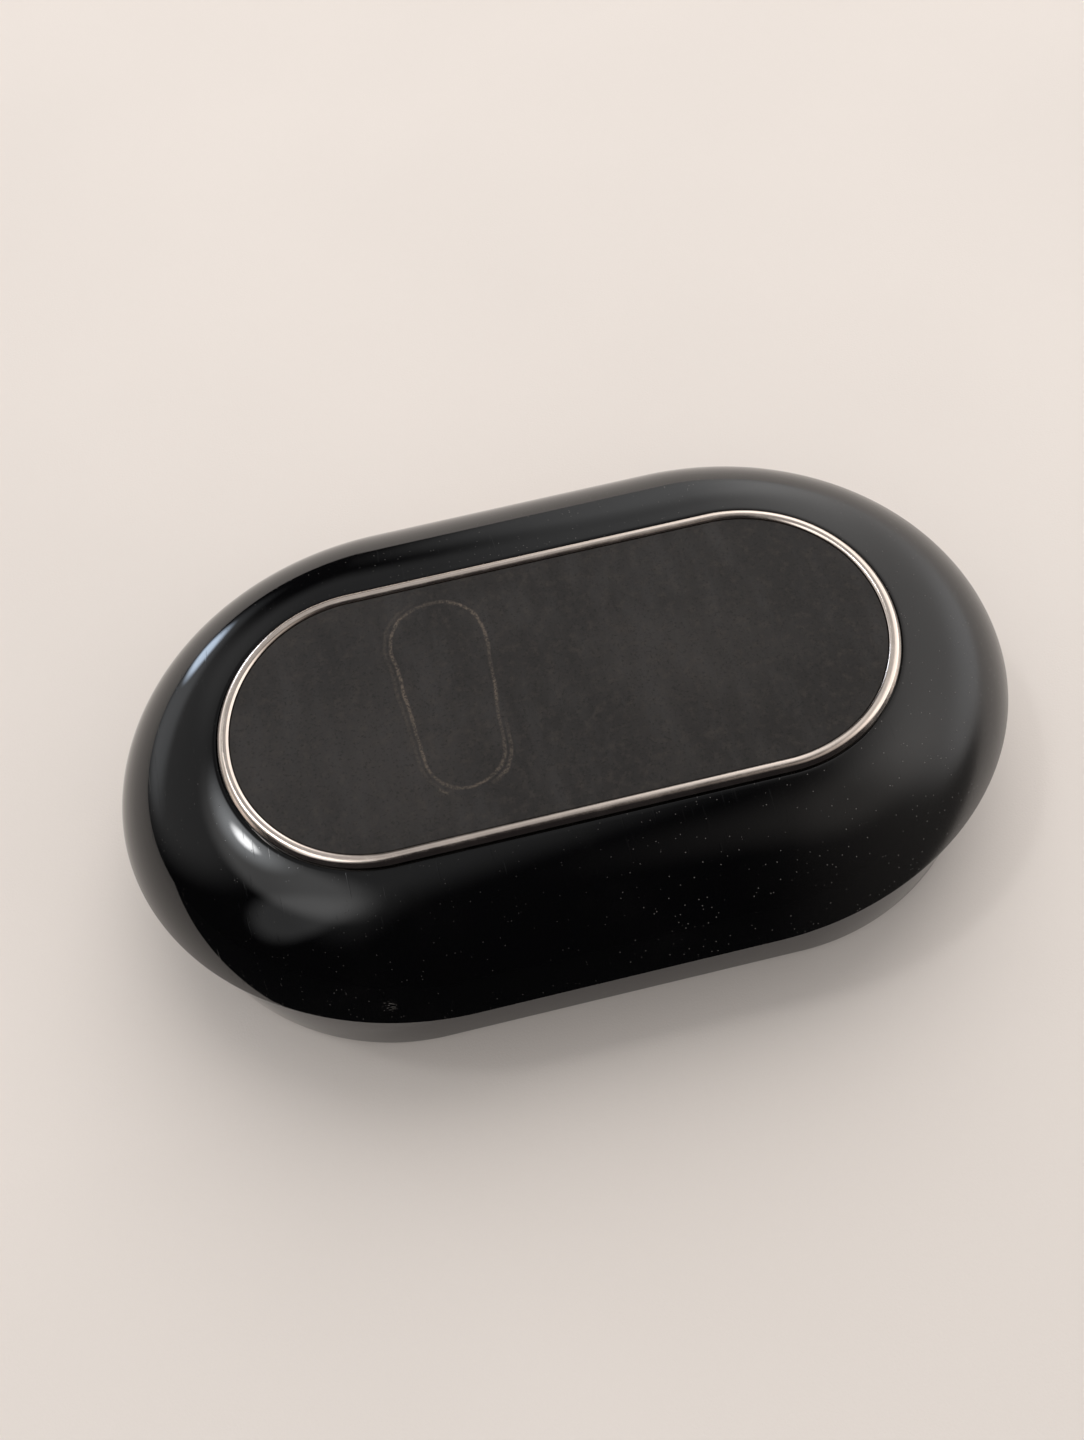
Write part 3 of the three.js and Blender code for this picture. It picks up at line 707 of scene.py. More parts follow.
def satin_cloth(name):
    """Fine twill woven cloth of the padded lining."""
    colours = bpy.context.scene.case_colours
    finish = Finish(
        name, Sheen_Weight=0.45, Sheen_Roughness=0.3, Sheen_Tint=(0.9, 0.45, 0.5, 1.0))
    thread_pitch = 0.34 * MM
    threads = 2 * math.pi / thread_pitch
    x, y = finish.split(finish.place)
    slant = finish.sum("ADD", x, y)
    warp = finish.sum("SINE", finish.sum("MULTIPLY", slant, threads))
    weft = finish.sum("SINE", finish.sum("MULTIPLY", x, threads * 2))
    weave = finish.sum("MULTIPLY_ADD", weft, 0.35, warp)
    drift = finish.noise(85.0, 4.0, 0.6)
    pale = tuple(min(1.0, channel * 1.9) for channel in colours.lining)
    tone = finish.blend(finish.band(weave, -1.2, 1.2, 0.1, 0.8), tuple(colours.lining), pale)
    tone = finish.blend(finish.band(drift, 0.4, 0.75, 0.0, 0.35), tone, (0.02, 0.004, 0.007))
    finish.base(tone)
    finish.rough(finish.band(drift, 0.3, 0.7, 0.42, 0.6))
    finish.bump(weave, 0.03 * MM)
    return finish.material


def fibre_board(name):
    """Pressed fibre board."""
    colours = bpy.context.scene.case_colours
    finish = Finish(name)
    flecks = finish.noise(1.0, 4.0, 0.7, finish.stretched((1800.0, 300.0, 900.0), (0.0, 0.0, 0.7)))
    dark = (0.08, 0.06, 0.045)
    finish.base(finish.blend(finish.band(flecks, 0.35, 0.7), tuple(colours.board), dark))
    finish.rough(finish.band(flecks, 0.3, 0.7, 0.75, 0.92))
    finish.bump(flecks, 0.05 * MM)
    return finish.material


def satin_black(name):
    """Satin moulded black with a fine spark grain."""
    colours = bpy.context.scene.case_colours
    finish = Finish(name)
    grain = finish.noise(1900.0, 3.0, 0.6)
    worn = (0.018, 0.018, 0.019)
    finish.base(finish.blend(finish.band(grain, 0.35, 0.7, 0.0, 0.5), worn, tuple(colours.black)))
    finish.rough(finish.band(grain, 0.3, 0.7, 0.34, 0.48))
    finish.bump(grain, 0.02 * MM)
    return finish.material


def finish_named(name):
    """The material of this name, made once."""
    if name in bpy.data.materials:
        return bpy.data.materials[name]
    colours = bpy.context.scene.case_colours
    fine, brushed = (1500.0, 1500.0, 1500.0), (2500.0, 200.0, 200.0)
    makers = {
        "Gloss Black Lid": (gloss_black, 1.0, 1.48),
        "Gloss Black Base": (gloss_black, 0.35, 1.62),
        "Satin Black": (satin_black,),
        "Matt Panel": (matt_panel,),
        "Ring Nickel": (polished, colours.nickel, 0.17, 0.27, fine, 0.0008 * MM),
        "Hinge Nickel": (polished, colours.nickel, 0.16, 0.34, brushed, 0.004 * MM),
        "Bright Steel": (polished, colours.steel, 0.12, 0.30),
        "Turned Brass": (polished, colours.brass, 0.2, 0.36),
        "Sole Rubber": (rubber,),
        "Flock": (flock,),
        "Lining Cloth": (satin_cloth,),
        "Fibre Board": (fibre_board,),
    }
    maker, *values = makers[name]
    return maker(name, *values)


# ------------------------------------------------------------------ the case's sections


def shoulder_arc():
    """Axis radius and level of the arc that the lid's shoulder follows."""
    sizes = bpy.context.scene.case_sizes
    reach = sizes.shoulder - sizes.rim_round
    axis = RIM_RADIUS - sizes.rim_round - reach * math.sin(sizes.shoulder_end)
    level = SEAM + sizes.rim_round - reach * math.cos(sizes.shoulder_end)
    return axis, level


def ring_inner():
    """Inner end radius of the trim ring."""
    return RING_RADIUS - bpy.context.scene.case_sizes.ring_width


def tongue_outer():
    """Outer end radius of the tongue that stands up inside the lid."""
    sizes = bpy.context.scene.case_sizes
    return BASE_RADIUS - sizes.base_wall + sizes.tongue


def rebate_radius():
    """End radius of the lid's inside wall, round the tongue."""
    return tongue_outer() + bpy.context.scene.case_sizes.gap + 0.05 * MM


def block_head_foot():
    """Level of the underside of the catch block's head."""
    return SEAM - 1.4 * MM


def tuck_ends(piece, is_outside):
    """Shorten the straight towards the rim on the outside, keeping the case's length."""
    pinch = bpy.context.scene.case_sizes.rim_pinch
    for vertex in piece.data.vertices:
        co = vertex.co
        past = abs(co.x) - HALF_STRAIGHT
        radius = math.hypot(past, co.y - PLAN_Y)
        if past <= 0.0 or not is_outside(radius, co.z):
            continue
        part = min(1.0, max(0.0, (radius - RING_RADIUS) / (RIM_RADIUS - RING_RADIUS)))
        shift = HALF_STRAIGHT - pinch * part
        stretch = (HALF_STRAIGHT + radius - shift) / radius
        co.x = math.copysign(shift + past * stretch, co.x)


# ------------------------------------------------------------------ parts that several pieces share


def knuckle_radius():
    """Outside radius of the hinge's knuckles."""
    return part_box("hinge_leaf_base")[1].y - HINGE.y


def knuckles(indexes, web_from, web_foot, web_top):
    """Barrels and webs for some of the hinge's five knuckles."""
    half = half_size("hinge_leaf_base").x
    size = 2 * half / KNUCKLES
    gap = bpy.context.scene.case_sizes.gap
    pieces = []
    for index in indexes:
        start = -half + index * size + gap / 2
        stop = start + size - gap
        pieces.append(rod(
            f"knuckle_{index}", knuckle_radius(),
            (start, HINGE.y, HINGE.z), (stop, HINGE.y, HINGE.z)))
        pieces.append(box_between(
            f"web_{index}", (start, web_from, web_foot), (stop, HINGE.y, web_top)))
    return pieces


def pin_hole():
    """Cutter for the pin's bore through every knuckle."""
    radius = PIN_RADIUS + bpy.context.scene.case_sizes.pin_play
    reach = 30 * MM
    return rod("pin_hole", radius, (-reach, HINGE.y, HINGE.z), (reach, HINGE.y, HINGE.z))


def screw_seats(row, count, along):
    """Cutters for a row of screws' heads, which look along +Y or down."""
    radius = bpy.context.scene.case_sizes.screw_head + 0.2 * MM
    depth = 0.7 * MM
    seats = []
    for i in range(1, count + 1):
        low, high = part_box(f"{row}_{i}")
        face = (low + high) / 2
        if along == "y":
            face.y, inwards = high.y, Vector((0, -1, 0))
        else:
            face.z, inwards = low.z, Vector((0, 0, 1))
        seats.append(rod(
            "screw_seat", radius, face - inwards * OVERRUN, face + inwards * depth, sides=32))
    return seats


def slotted_screw(reach):
    """A slotted screw whose head's face is at the origin and whose shank points down."""
    sizes = bpy.context.scene.case_sizes
    head, shank = sizes.screw_head, sizes.screw_shank
    thick, pitch, point, rounded = 0.5 * MM, 0.32 * MM, 0.35 * MM, 0.12 * MM
    root = 0.8 * shank
    section = [(0.0, -reach), (0.45 * shank, -reach), (shank, -reach + point)]
    threads = int((reach - thick - 0.6 * MM) / pitch)
    for i in range(threads):
        height = -reach + 0.4 * MM + i * pitch
        section += [(root, height + 0.06 * MM), (shank, height + 0.2 * MM)]
    section += [(root, -thick), (head, -thick), (head, -rounded)]
    section += arc(head - rounded, -rounded, rounded, 0, 90, 3)[1:]
    section.append((0.0, 0.0))
    piece = turned("screw", section, steps=32)
    half_slot, slot_depth = 0.18 * MM, 0.26 * MM
    cut(piece, box_between(
        "slot", (-2 * head, -half_slot, -slot_depth), (2 * head, half_slot, OVERRUN)))
    return piece


def slice_across(piece):
    """Cut a long piece's straight part into strips, so that it can be shaped along X."""
    spacing = 1.5 * MM
    count = int(2 * HALF_STRAIGHT / spacing)
    for i in range(count + 1):
        place = -HALF_STRAIGHT + 2 * HALF_STRAIGHT * i / count
        activate(piece)
        bpy.ops.object.mode_set(mode="EDIT")
        bpy.ops.mesh.select_all(action="SELECT")
        bpy.ops.mesh.bisect(plane_co=(place, 0.0, 0.0), plane_no=(1.0, 0.0, 0.0))
        bpy.ops.object.mode_set(mode="OBJECT")


def puckers(place):
    """How full padded cloth is at a place, from 0 to 1."""
    wide = noise.noise(place * 95.0)
    fine = noise.noise(place * 310.0)
    return max(0.0, min(1.0, 0.5 + 0.42 * wide + 0.22 * fine))


# ------------------------------------------------------------------ operators, one for each piece


class CASE_OT_lid_shell(bpy.types.Operator):
    """Model the domed lid moulding, with its recess, rebate and hinge and catch pockets"""

    bl_idname = "case.lid_shell"
    bl_label = "Lid Shell"

    def execute(self, context):
        sizes = context.scene.case_sizes
        axis, level = shoulder_arc()
        start, end = math.degrees(sizes.shoulder_start), math.degrees(sizes.shoulder_end)
        inner = sizes.shoulder - sizes.lid_wall
        floor = LID_TOP - sizes.recess
        underside = floor - sizes.crown
        gap, corner, rounded = sizes.gap, sizes.edge, sizes.rim_round
        recess = RING_RADIUS + gap
        rebate = rebate_radius()
        crown_turn = math.degrees(math.asin((underside - level) / inner))
        rebate_turn = math.degrees(math.acos((rebate - axis) / inner))
        lip = 0.6       # degrees by which the shoulder runs on towards the ring
        section = [
            (0.0, floor), (recess, floor), (recess, LID_TOP - 1.2 * corner),
            (recess + 0.4 * corner, LID_TOP - 0.35 * corner)]
        section += arc(axis, level, sizes.shoulder, 90 - start - lip, 90 - end, 56)
        section += arc(RIM_RADIUS - rounded, SEAM + rounded, rounded, 90 - end, -90, 14)[1:]
        section += [(rebate + corner, SEAM), (rebate, SEAM + corner)]
        section += arc(axis, level, inner, rebate_turn, crown_turn, 20)
        section.append((0.0, underside))
        piece = spun("lid_moulding", section)
        outside = sizes.shoulder - 1.5 * MM
        tuck_ends(piece, lambda radius, height: math.hypot(radius - axis, height - level) > outside)

        block_low, block_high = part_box("catch_block")
        strike_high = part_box("strike_plate")[1]
        head_room = box_between(
            "head_room", (block_low.x - gap, strike_high.y, SEAM - OVERRUN),
            (block_high.x + gap, block_high.y, block_high.z + 1.3 * gap))
        strike_room = room_round("strike_room", "strike_plate", gap, (1, 1, strike_high.y + OVERRUN))
        leaf_room = room_round(
            "leaf_room", "hinge_leaf_lid", gap, (0, 2, SEAM - OVERRUN), (1, 1, HINGE.y + gap))
        cut(piece, head_room, strike_room, leaf_room)
        finish_piece(piece, "Gloss Black Lid", "lid", "lid_shell")
        return {"FINISHED"}


class CASE_OT_top_panel(bpy.types.Operator):
    """Model the flat panel let into the lid"""

    bl_idname = "case.top_panel"
    bl_label = "Top Panel"

    def execute(self, context):
        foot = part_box("top_panel")[0].z
        ring_gap, rounded = 0.08 * MM, 0.22 * MM
        edge = ring_inner() - ring_gap
        section = softened(
            [(0.0, foot), (edge, foot), (edge, PANEL_TOP), (0.0, PANEL_TOP)],
            rounded, closed=False, steps=6)
        piece = spun("matt_top_panel", section)
        finish_piece(piece, "Matt Panel", "lid", "top_panel")
        return {"FINISHED"}


class CASE_OT_trim_ring(bpy.types.Operator):
    """Model the trim ring: a crowned strip with a bevel on its outer side, and its posts"""

    bl_idname = "case.trim_ring"
    bl_label = "Trim Ring"

    def execute(self, context):
        inner = ring_inner()
        outer = RING_RADIUS
        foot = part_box("top_panel")[0].z
        crest = inner + 0.80 * MM
        section = softened([
            (inner, foot), (outer, foot), (outer, LID_TOP + 0.30 * MM),
            (crest + 0.62 * MM, RING_TOP - 0.20 * MM), (crest + 0.30 * MM, RING_TOP - 0.03 * MM),
            (crest, RING_TOP), (inner + 0.35 * MM, RING_TOP - 0.05 * MM),
            (inner, RING_TOP - 0.30 * MM),
        ], 0.14 * MM, corner=8.0, steps=5)
        piece = spun("nickel_trim_ring", section, SPIN_STEPS * 2)
        tip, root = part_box("trim_ring")[0].z, foot + 0.3 * MM
        post = rod("post", 0.6 * MM, (0.0, 0.0, tip), (0.0, 0.0, root), sides=16)
        posts = []
        for i in range(1, PUSH_NUTS + 1):
            nut = middle(f"push_nut_{i}")
            posts.append(copy_of(post, f"post_{i}", (nut.x, nut.y, 0.0)))
        bpy.data.objects.remove(post)
        activate(piece, *posts)
        bpy.ops.object.join()
        finish_piece(piece, "Ring Nickel", "lid", "trim_ring", 40)
        return {"FINISHED"}


class CASE_OT_base_shell(bpy.types.Operator):
    """Model the lower shell, with its tongue, foot recess and hinge and catch pockets"""

    bl_idname = "case.base_shell"
    bl_label = "Base Shell"

    def execute(self, context):
        sizes = context.scene.case_sizes
        gap, rounded = sizes.gap, sizes.foot_round
        corner = 2 * sizes.edge
        foot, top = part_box("base_shell")[0].z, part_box("base_shell")[1].z
        land = SEAM - gap
        sole = half_size("sole_pad").y + gap
        sole_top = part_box("sole_pad")[1].z + gap
        lining_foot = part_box("base_lining")[0].z - gap
        inner, tongue = BASE_RADIUS - sizes.base_wall, tongue_outer()
        cove = 2 * MM
        section = [(0.0, sole_top), (sole, sole_top), (sole, foot)]
        section += arc(BASE_RADIUS - rounded, foot + rounded, rounded, -90, 0, 8)
        section += arc(BASE_RADIUS - corner, land - corner, corner, 0, 90, 4)
        section.append((tongue, land))
        section += arc(tongue - corner, top - corner, corner, 0, 90, 4)
        section += arc(inner + corner, top - corner, corner, 90, 180, 4)
        section += arc(inner - cove, lining_foot + cove, cove, 0, -90, 8)
        section.append((0.0, lining_foot))
        piece = spun("base_moulding", section)

        block_high, leaf_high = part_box("catch_block")[1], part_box("hinge_leaf_base")[1]
        head_room = room_round(
            "head_room", "catch_block", gap, (0, 2, block_head_foot() - gap),
            (1, 1, block_high.y), (1, 2, top + OVERRUN))
        leaf_pocket = room_round(
            "leaf_pocket", "hinge_leaf_base", gap, (1, 1, leaf_high.y + OVERRUN),
            (1, 2, SEAM + OVERRUN))
        cut(piece, head_room, leaf_pocket)
        finish_piece(piece, "Gloss Black Base", "base", "base_shell")
        return {"FINISHED"}


class CASE_OT_sole_pad(bpy.types.Operator):
    """Model the rubber sole, with a rounded edge and a grooved border"""

    bl_idname = "case.sole_pad"
    bl_label = "Sole Pad"

    def execute(self, context):
        radius = half_size("sole_pad").y
        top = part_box("sole_pad")[1].z
        grooves, groove, depth, border = 3, 1.2 * MM, 0.25 * MM, 1.5 * MM
        section = [(0.0, 0.0)]
        for i in range(grooves, 0, -1):
            edge = radius - border - i * 2 * groove
            section += [
                (edge, 0.0), (edge + 0.2 * groove, depth),
                (edge + groove, depth), (edge + 1.2 * groove, 0.0)]
        section += [(radius, 0.0), (radius, top), (0.0, top)]
        piece = spun("rubber_sole", softened(section, 0.2 * MM, closed=False, steps=3))
        finish_piece(piece, "Sole Rubber", "base", "sole_pad")
        return {"FINISHED"}


class CASE_OT_base_lining(bpy.types.Operator):
    """Model the flocked tray that lines the base, cut away round the catch block"""

    bl_idname = "case.base_lining"
    bl_label = "Base Lining"

    def execute(self, context):
        sizes = context.scene.case_sizes
        outer = half_size("base_lining").y
        foot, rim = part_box("base_lining")[0].z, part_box("base_lining")[1].z
        thick, rounded = sizes.tray, 2.2 * MM
        section = [(0.0, foot)]
        section += arc(outer - rounded, foot + rounded, rounded, -90, 0, 8)
        section += arc(outer - thick / 2, rim - thick / 2, thick / 2, 0, 180, 10)
        section += arc(outer - thick - rounded, foot + thick + rounded, rounded, 0, -90, 8)
        section.append((0.0, foot + thick))
        piece = spun("flocked_tray", section)
        low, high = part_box("catch_block")
        cut(piece, room_round(
            "block_room", "catch_block", 2 * sizes.gap, (0, 1, low.y - 8 * OVERRUN),
            (1, 1, high.y + OVERRUN), (1, 2, rim + OVERRUN)))
        finish_piece(piece, "Flock", "base", "base_lining")
        return {"FINISHED"}


class CASE_OT_base_cushion(bpy.types.Operator):
    """Model the padded floor: crowned, with a piped edge and one sewn channel"""

    bl_idname = "case.base_cushion"
    bl_label = "Base Cushion"

    def execute(self, context):
        radius = half_size("base_cushion").y
        foot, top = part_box("base_cushion")[0].z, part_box("base_cushion")[1].z
        piping, rounded = 0.62 * MM, 1.5 * MM
        seam = foot + 0.56 * (top - foot)
        crown_foot, crown_spread = seam + 0.35 * MM, 4.2 * MM
        channel_in, channel_wide, channel_deep = 9.0 * MM, 0.8 * MM, 1.0 * MM
        crown_from, crown_reach, points = radius - 1.55 * MM, 17 * MM, 33
        dip = 0.34 * MM
        section = [(0.0, foot)]
        section += arc(radius - rounded, foot + rounded, rounded, -90, -10, 8)
        section.append((radius - 0.42 * MM, seam - 1.05 * piping))
        section += arc(radius - piping, seam, piping, -50, 118, 10)
        for i in range(points + 1):
            inwards = crown_reach * (i / points) ** 1.25
            rise = 1 - math.exp(-inwards / crown_spread)
            height = crown_foot + (top - crown_foot) * rise
            height -= channel_deep * math.exp(-((inwards - channel_in) / channel_wide) ** 2)
            section.append((crown_from - inwards, height))
        section.append((0.0, section[-1][1]))
        piece = spun("padded_floor", section)
        slice_across(piece)
        for vertex in piece.data.vertices:
            part = max(0.0, min(1.0, (vertex.co.z - seam) / (top - seam)))
            vertex.co.z -= part * dip * (1 - puckers(vertex.co))
        finish_piece(piece, "Lining Cloth", "base", "base_cushion", 60)
        return {"FINISHED"}


class CASE_OT_lid_lining(bpy.types.Operator):
    """Model the padded dish that lines the lid, with a rolled edge and one sewn channel"""

    bl_idname = "case.lid_lining"
    bl_label = "Lid Lining"

    def execute(self, context):
        sizes = context.scene.case_sizes
        axis, level = shoulder_arc()
        foot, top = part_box("lid_lining")[0].z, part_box("lid_lining")[1].z
        outside = sizes.shoulder - sizes.lid_wall - 2 * sizes.gap
        pad = sizes.lid_pad
        inside = outside - pad

        def turn_at(height, reach):
            return math.degrees(math.asin((height - level) / reach))

        start, stop = turn_at(foot + pad / 2, outside), turn_at(top, outside)
        back, far = turn_at(top - pad, inside), turn_at(foot + pad / 2, inside)
        sag, sag_spread = 0.30 * MM, 3.5 * MM
        channel_in, channel_wide, channel_deep = 7.0 * MM, 0.75 * MM, 0.8 * MM
        reach, points = 14 * MM, 24
        section = [(0.0, top - pad - 0.05 * MM)]
        flat_end = axis + inside * math.cos(math.radians(back))
        for i in range(points):
            inwards = reach * (1 - i / points)
            drop = sag * (1 - math.exp(-inwards / sag_spread))
            drop -= channel_deep * math.exp(-((inwards - channel_in) / channel_wide) ** 2)
            section.append((flat_end - inwards, top - pad - drop))
        section += arc(axis, level, inside, back, far, 12)
        edge = (inside + outside) / 2 * math.cos(math.radians(far)) + axis
        rolled = ((-0.52, 0.28), (-0.15, 0.02), (0.25, 0.04), (0.5, 0.26))
        section += [(edge + out * pad, foot + up * pad) for out, up in rolled]
        section += arc(axis, level, outside, start, stop, 12)
        section.append((0.0, top))
        piece = spun("padded_lid_lining", section)
        slice_across(piece)
        dip = 0.22 * MM
        for vertex in piece.data.vertices:
            if top - 1.6 * pad < vertex.co.z < top - pad / 2:
                vertex.co.z += dip * (1 - puckers(vertex.co))
        finish_piece(piece, "Lining Cloth", "lid", "lid_lining", 60)
        return {"FINISHED"}


class CASE_OT_hinge(bpy.types.Operator):
    """Model the two hinge leaves with their knuckles, and the pin with its peened heads"""

    bl_idname = "case.hinge"
    bl_label = "Hinge"

    def execute(self, context):
        sizes = context.scene.case_sizes
        web = sizes.leaf / 2
        low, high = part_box("hinge_leaf_base")
        wall = PLAN_Y + BASE_RADIUS
        lower = box_between("base_plate", low, (high.x, wall, SEAM - sizes.gap))
        web_foot, web_top = HINGE.z - knuckle_radius(), HINGE.z - PIN_RADIUS
        fuse(lower, *knuckles((0, 2, 4), wall - web, web_foot, web_top))
        cut(lower, pin_hole(), *screw_seats("base_leaf_screw", 3, "y"))

        low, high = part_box("hinge_leaf_lid")
        upper = box_between(
            "lid_plate", (low.x, low.y, SEAM), (high.x, HINGE.y, SEAM + sizes.leaf))
        web_from, web_foot = HINGE.y - 0.9 * MM, HINGE.z + PIN_RADIUS
        fuse(upper, *knuckles((1, 3), web_from, web_foot, SEAM + web))
        cut(upper, pin_hole(), *screw_seats("lid_leaf_screw", 2, "z"))

        leaves = (
            (renamed(lower, "hinge_leaf_lower"), "base", "hinge_leaf_base"),
            (renamed(upper, "hinge_leaf_upper"), "lid", "hinge_leaf_lid"),
        )
        for leaf, body, node in leaves:
            soften_edges(leaf, 0.1 * MM)
            finish_piece(leaf, "Hinge Nickel", body, node, 35)

        half = half_size("hinge_pin").x
        head, dome = 0.8 * PIN_RADIUS, 0.14 * MM
        pin = turned("hinge_pin_turned", softened([
            (0.0, -half), (head, -half), (PIN_RADIUS, -half + dome),
            (PIN_RADIUS, half - dome), (head, half), (0.0, half),
        ], 0.08 * MM, closed=False))
        pin.rotation_euler = (0.0, math.pi / 2, 0.0)
        pin.location = HINGE
        settle(pin)
        finish_piece(pin, "Bright Steel", "base", "hinge_pin")
        return {"FINISHED"}


class CASE_OT_screws(bpy.types.Operator):
    """Model one slotted screw for each length and copy it to its places"""

    bl_idname = "case.screws"
    bl_label = "Screws"

    def execute(self, context):
        turns = {"y": (-math.pi / 2, 0.0, 0.0), "z": (math.pi, 0.0, 0.0)}
        rows = (
            ("base_leaf_screw", 3, "base", "y"),
            ("catch_screw", 2, "base", "y"),
            ("strike_screw", 2, "lid", "y"),
            ("lid_leaf_screw", 2, "lid", "z"),
        )
        for row, count, body, along in rows:
            low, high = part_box(f"{row}_1")
            master = slotted_screw(getattr(high, along) - getattr(low, along))
            for i in range(1, count + 1):
                low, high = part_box(f"{row}_{i}")
                place = (low + high) / 2
                setattr(place, along, high.y if along == "y" else low.z)
                piece = copy_of(master, f"{row}_turned_{i}", place, turns[along])
                finish_piece(piece, "Bright Steel", body, f"{row}_{i}")
            bpy.data.objects.remove(master)
        return {"FINISHED"}


class CASE_OT_ball_catch(bpy.types.Operator):
    """Model the ball catch: block, ball, coil spring, slotted plug and dimpled strike plate"""

    bl_idname = "case.ball_catch"
    bl_label = "Ball Catch"

    def execute(self, context):
        sizes = context.scene.case_sizes
        low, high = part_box("catch_block")
        ball = middle("catch_ball")
        radius = half_size("catch_ball").z
        gap = sizes.gap
        wall = PLAN_Y - BASE_RADIUS + sizes.base_wall + gap
        block = box_between("block_stem", (low.x, wall, low.z), high)
        head_foot = SEAM - 1.4 * MM
        fuse(block, box_between("block_head", (low.x, low.y, head_foot), high))
        past = 2 * MM
        bore = rod("bore", radius + 0.25 * MM, (0, low.y + 0.25 * MM, ball.z), (0, high.y + past, ball.z))
        mouth = rod("mouth", radius - 0.1 * MM, (0, low.y - past, ball.z), (0, high.y, ball.z))
        cut(block, bore, mouth, *screw_seats("catch_screw", 2, "y"))
        block.name = block.data.name = "catch_block_moulded"
        soften_edges(block, 0.18 * MM)
        finish_piece(block, "Satin Black", "base", "catch_block", 35)

        deselect()
        bpy.ops.mesh.primitive_uv_sphere_add(segments=64, ring_count=32, radius=radius, location=ball,
                                             rotation=(math.pi / 2, 0.0, 0.0))
        bearing = settle(named("catch_ball_polished"))
        worn = 0.994
        for vertex in bearing.data.vertices:
            out = vertex.co - ball
            if out.y > 0.93 * radius:
                vertex.co.y = ball.y + 0.93 * radius + worn * 0.4 * (out.y - 0.93 * radius)
        finish_piece(bearing, "Bright Steel", "ball", "catch_ball", 60)

        low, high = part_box("catch_spring")
        wire, coil, turns = 0.22 * MM, 1.25 * MM, 5
        deselect()
        bpy.ops.mesh.primitive_circle_add(vertices=12, radius=wire, fill_type="NOTHING")
        spring = named("catch_spring_coiled")
        settle(spring)
        for vertex in spring.data.vertices:
            vertex.co = (coil + vertex.co.x, 0.0, vertex.co.y)
        pitch = (high.y - low.y - 2 * wire) / turns
        winding = spring.modifiers.new("Winding", "SCREW")
        winding.axis = "Z"
        winding.screw_offset = pitch
        winding.iterations = turns
        winding.steps = winding.render_steps = 48
        winding.use_merge_vertices = False
        apply_modifiers(spring)
        bpy.ops.object.mode_set(mode="EDIT")
        bpy.ops.mesh.select_all(action="SELECT")
        bpy.ops.mesh.remove_doubles(threshold=1e-8)
        bpy.ops.mesh.fill_holes(sides=0)
        bpy.ops.mesh.select_all(action="SELECT")
        bpy.ops.mesh.normals_make_consistent(inside=False)
        bpy.ops.object.mode_set(mode="OBJECT")
        spring.rotation_euler = (-math.pi / 2, 0.0, 0.0)
        spring.location = (0.0, low.y + wire, ball.z)
        settle(spring)
        finish_piece(spring, "Bright Steel", "base", "catch_spring", 60)
        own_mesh(spring)

        low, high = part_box("catch_plug")
        plug = rod("catch_plug_slotted", half_size("catch_plug").z, (0, low.y, ball.z), (0, high.y, ball.z))
        cut(plug, box_between("plug_slot", (-3 * MM, high.y - 0.4 * MM, ball.z - 0.25 * MM),
                              (3 * MM, high.y + MM, ball.z + 0.25 * MM)))
        soften_edges(plug, 0.08 * MM)
        finish_piece(plug, "Turned Brass", "base", "catch_plug", 35)

        low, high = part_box("strike_plate")
        strike = box_between("strike_blank", low, high)
        dimple = rod("dimple", 1.35 * MM, (0, low.y - MM, ball.z), (0, high.y + MM, ball.z))
        cut(strike, dimple, *screw_seats("strike_screw", 2, "y"))
        strike.name = strike.data.name = "strike_plate_pressed"
        soften_edges(strike, 0.12 * MM, segments=3)
        finish_piece(strike, "Hinge Nickel", "lid", "strike_plate", 35)
        return {"FINISHED"}


class CASE_OT_kept_nodes(bpy.types.Operator):
    """Give the boards and push nuts, whose packed shapes stay, their finishes"""

    bl_idname = "case.kept_nodes"
    bl_label = "Boards and Push Nuts"

    def execute(self, context):
        kept = {"cushion_board": "Fibre Board", "lid_board": "Fibre Board"}
        kept.update({f"push_nut_{i}": "Bright Steel" for i in range(1, PUSH_NUTS + 1)})
        for node, finish in kept.items():
            for holder in frame["nodes"][node].material_slots:
                holder.material = finish_named(finish)
        return {"FINISHED"}


# ------------------------------------------------------------------ stage


def direction(azimuth, elevation):
    """Unit vector; azimuth 0 is the front, growing towards +X."""
    around, over = math.radians(azimuth), math.radians(elevation)
    return Vector((
        math.sin(around) * math.cos(over), -math.cos(around) * math.cos(over), math.sin(over)))


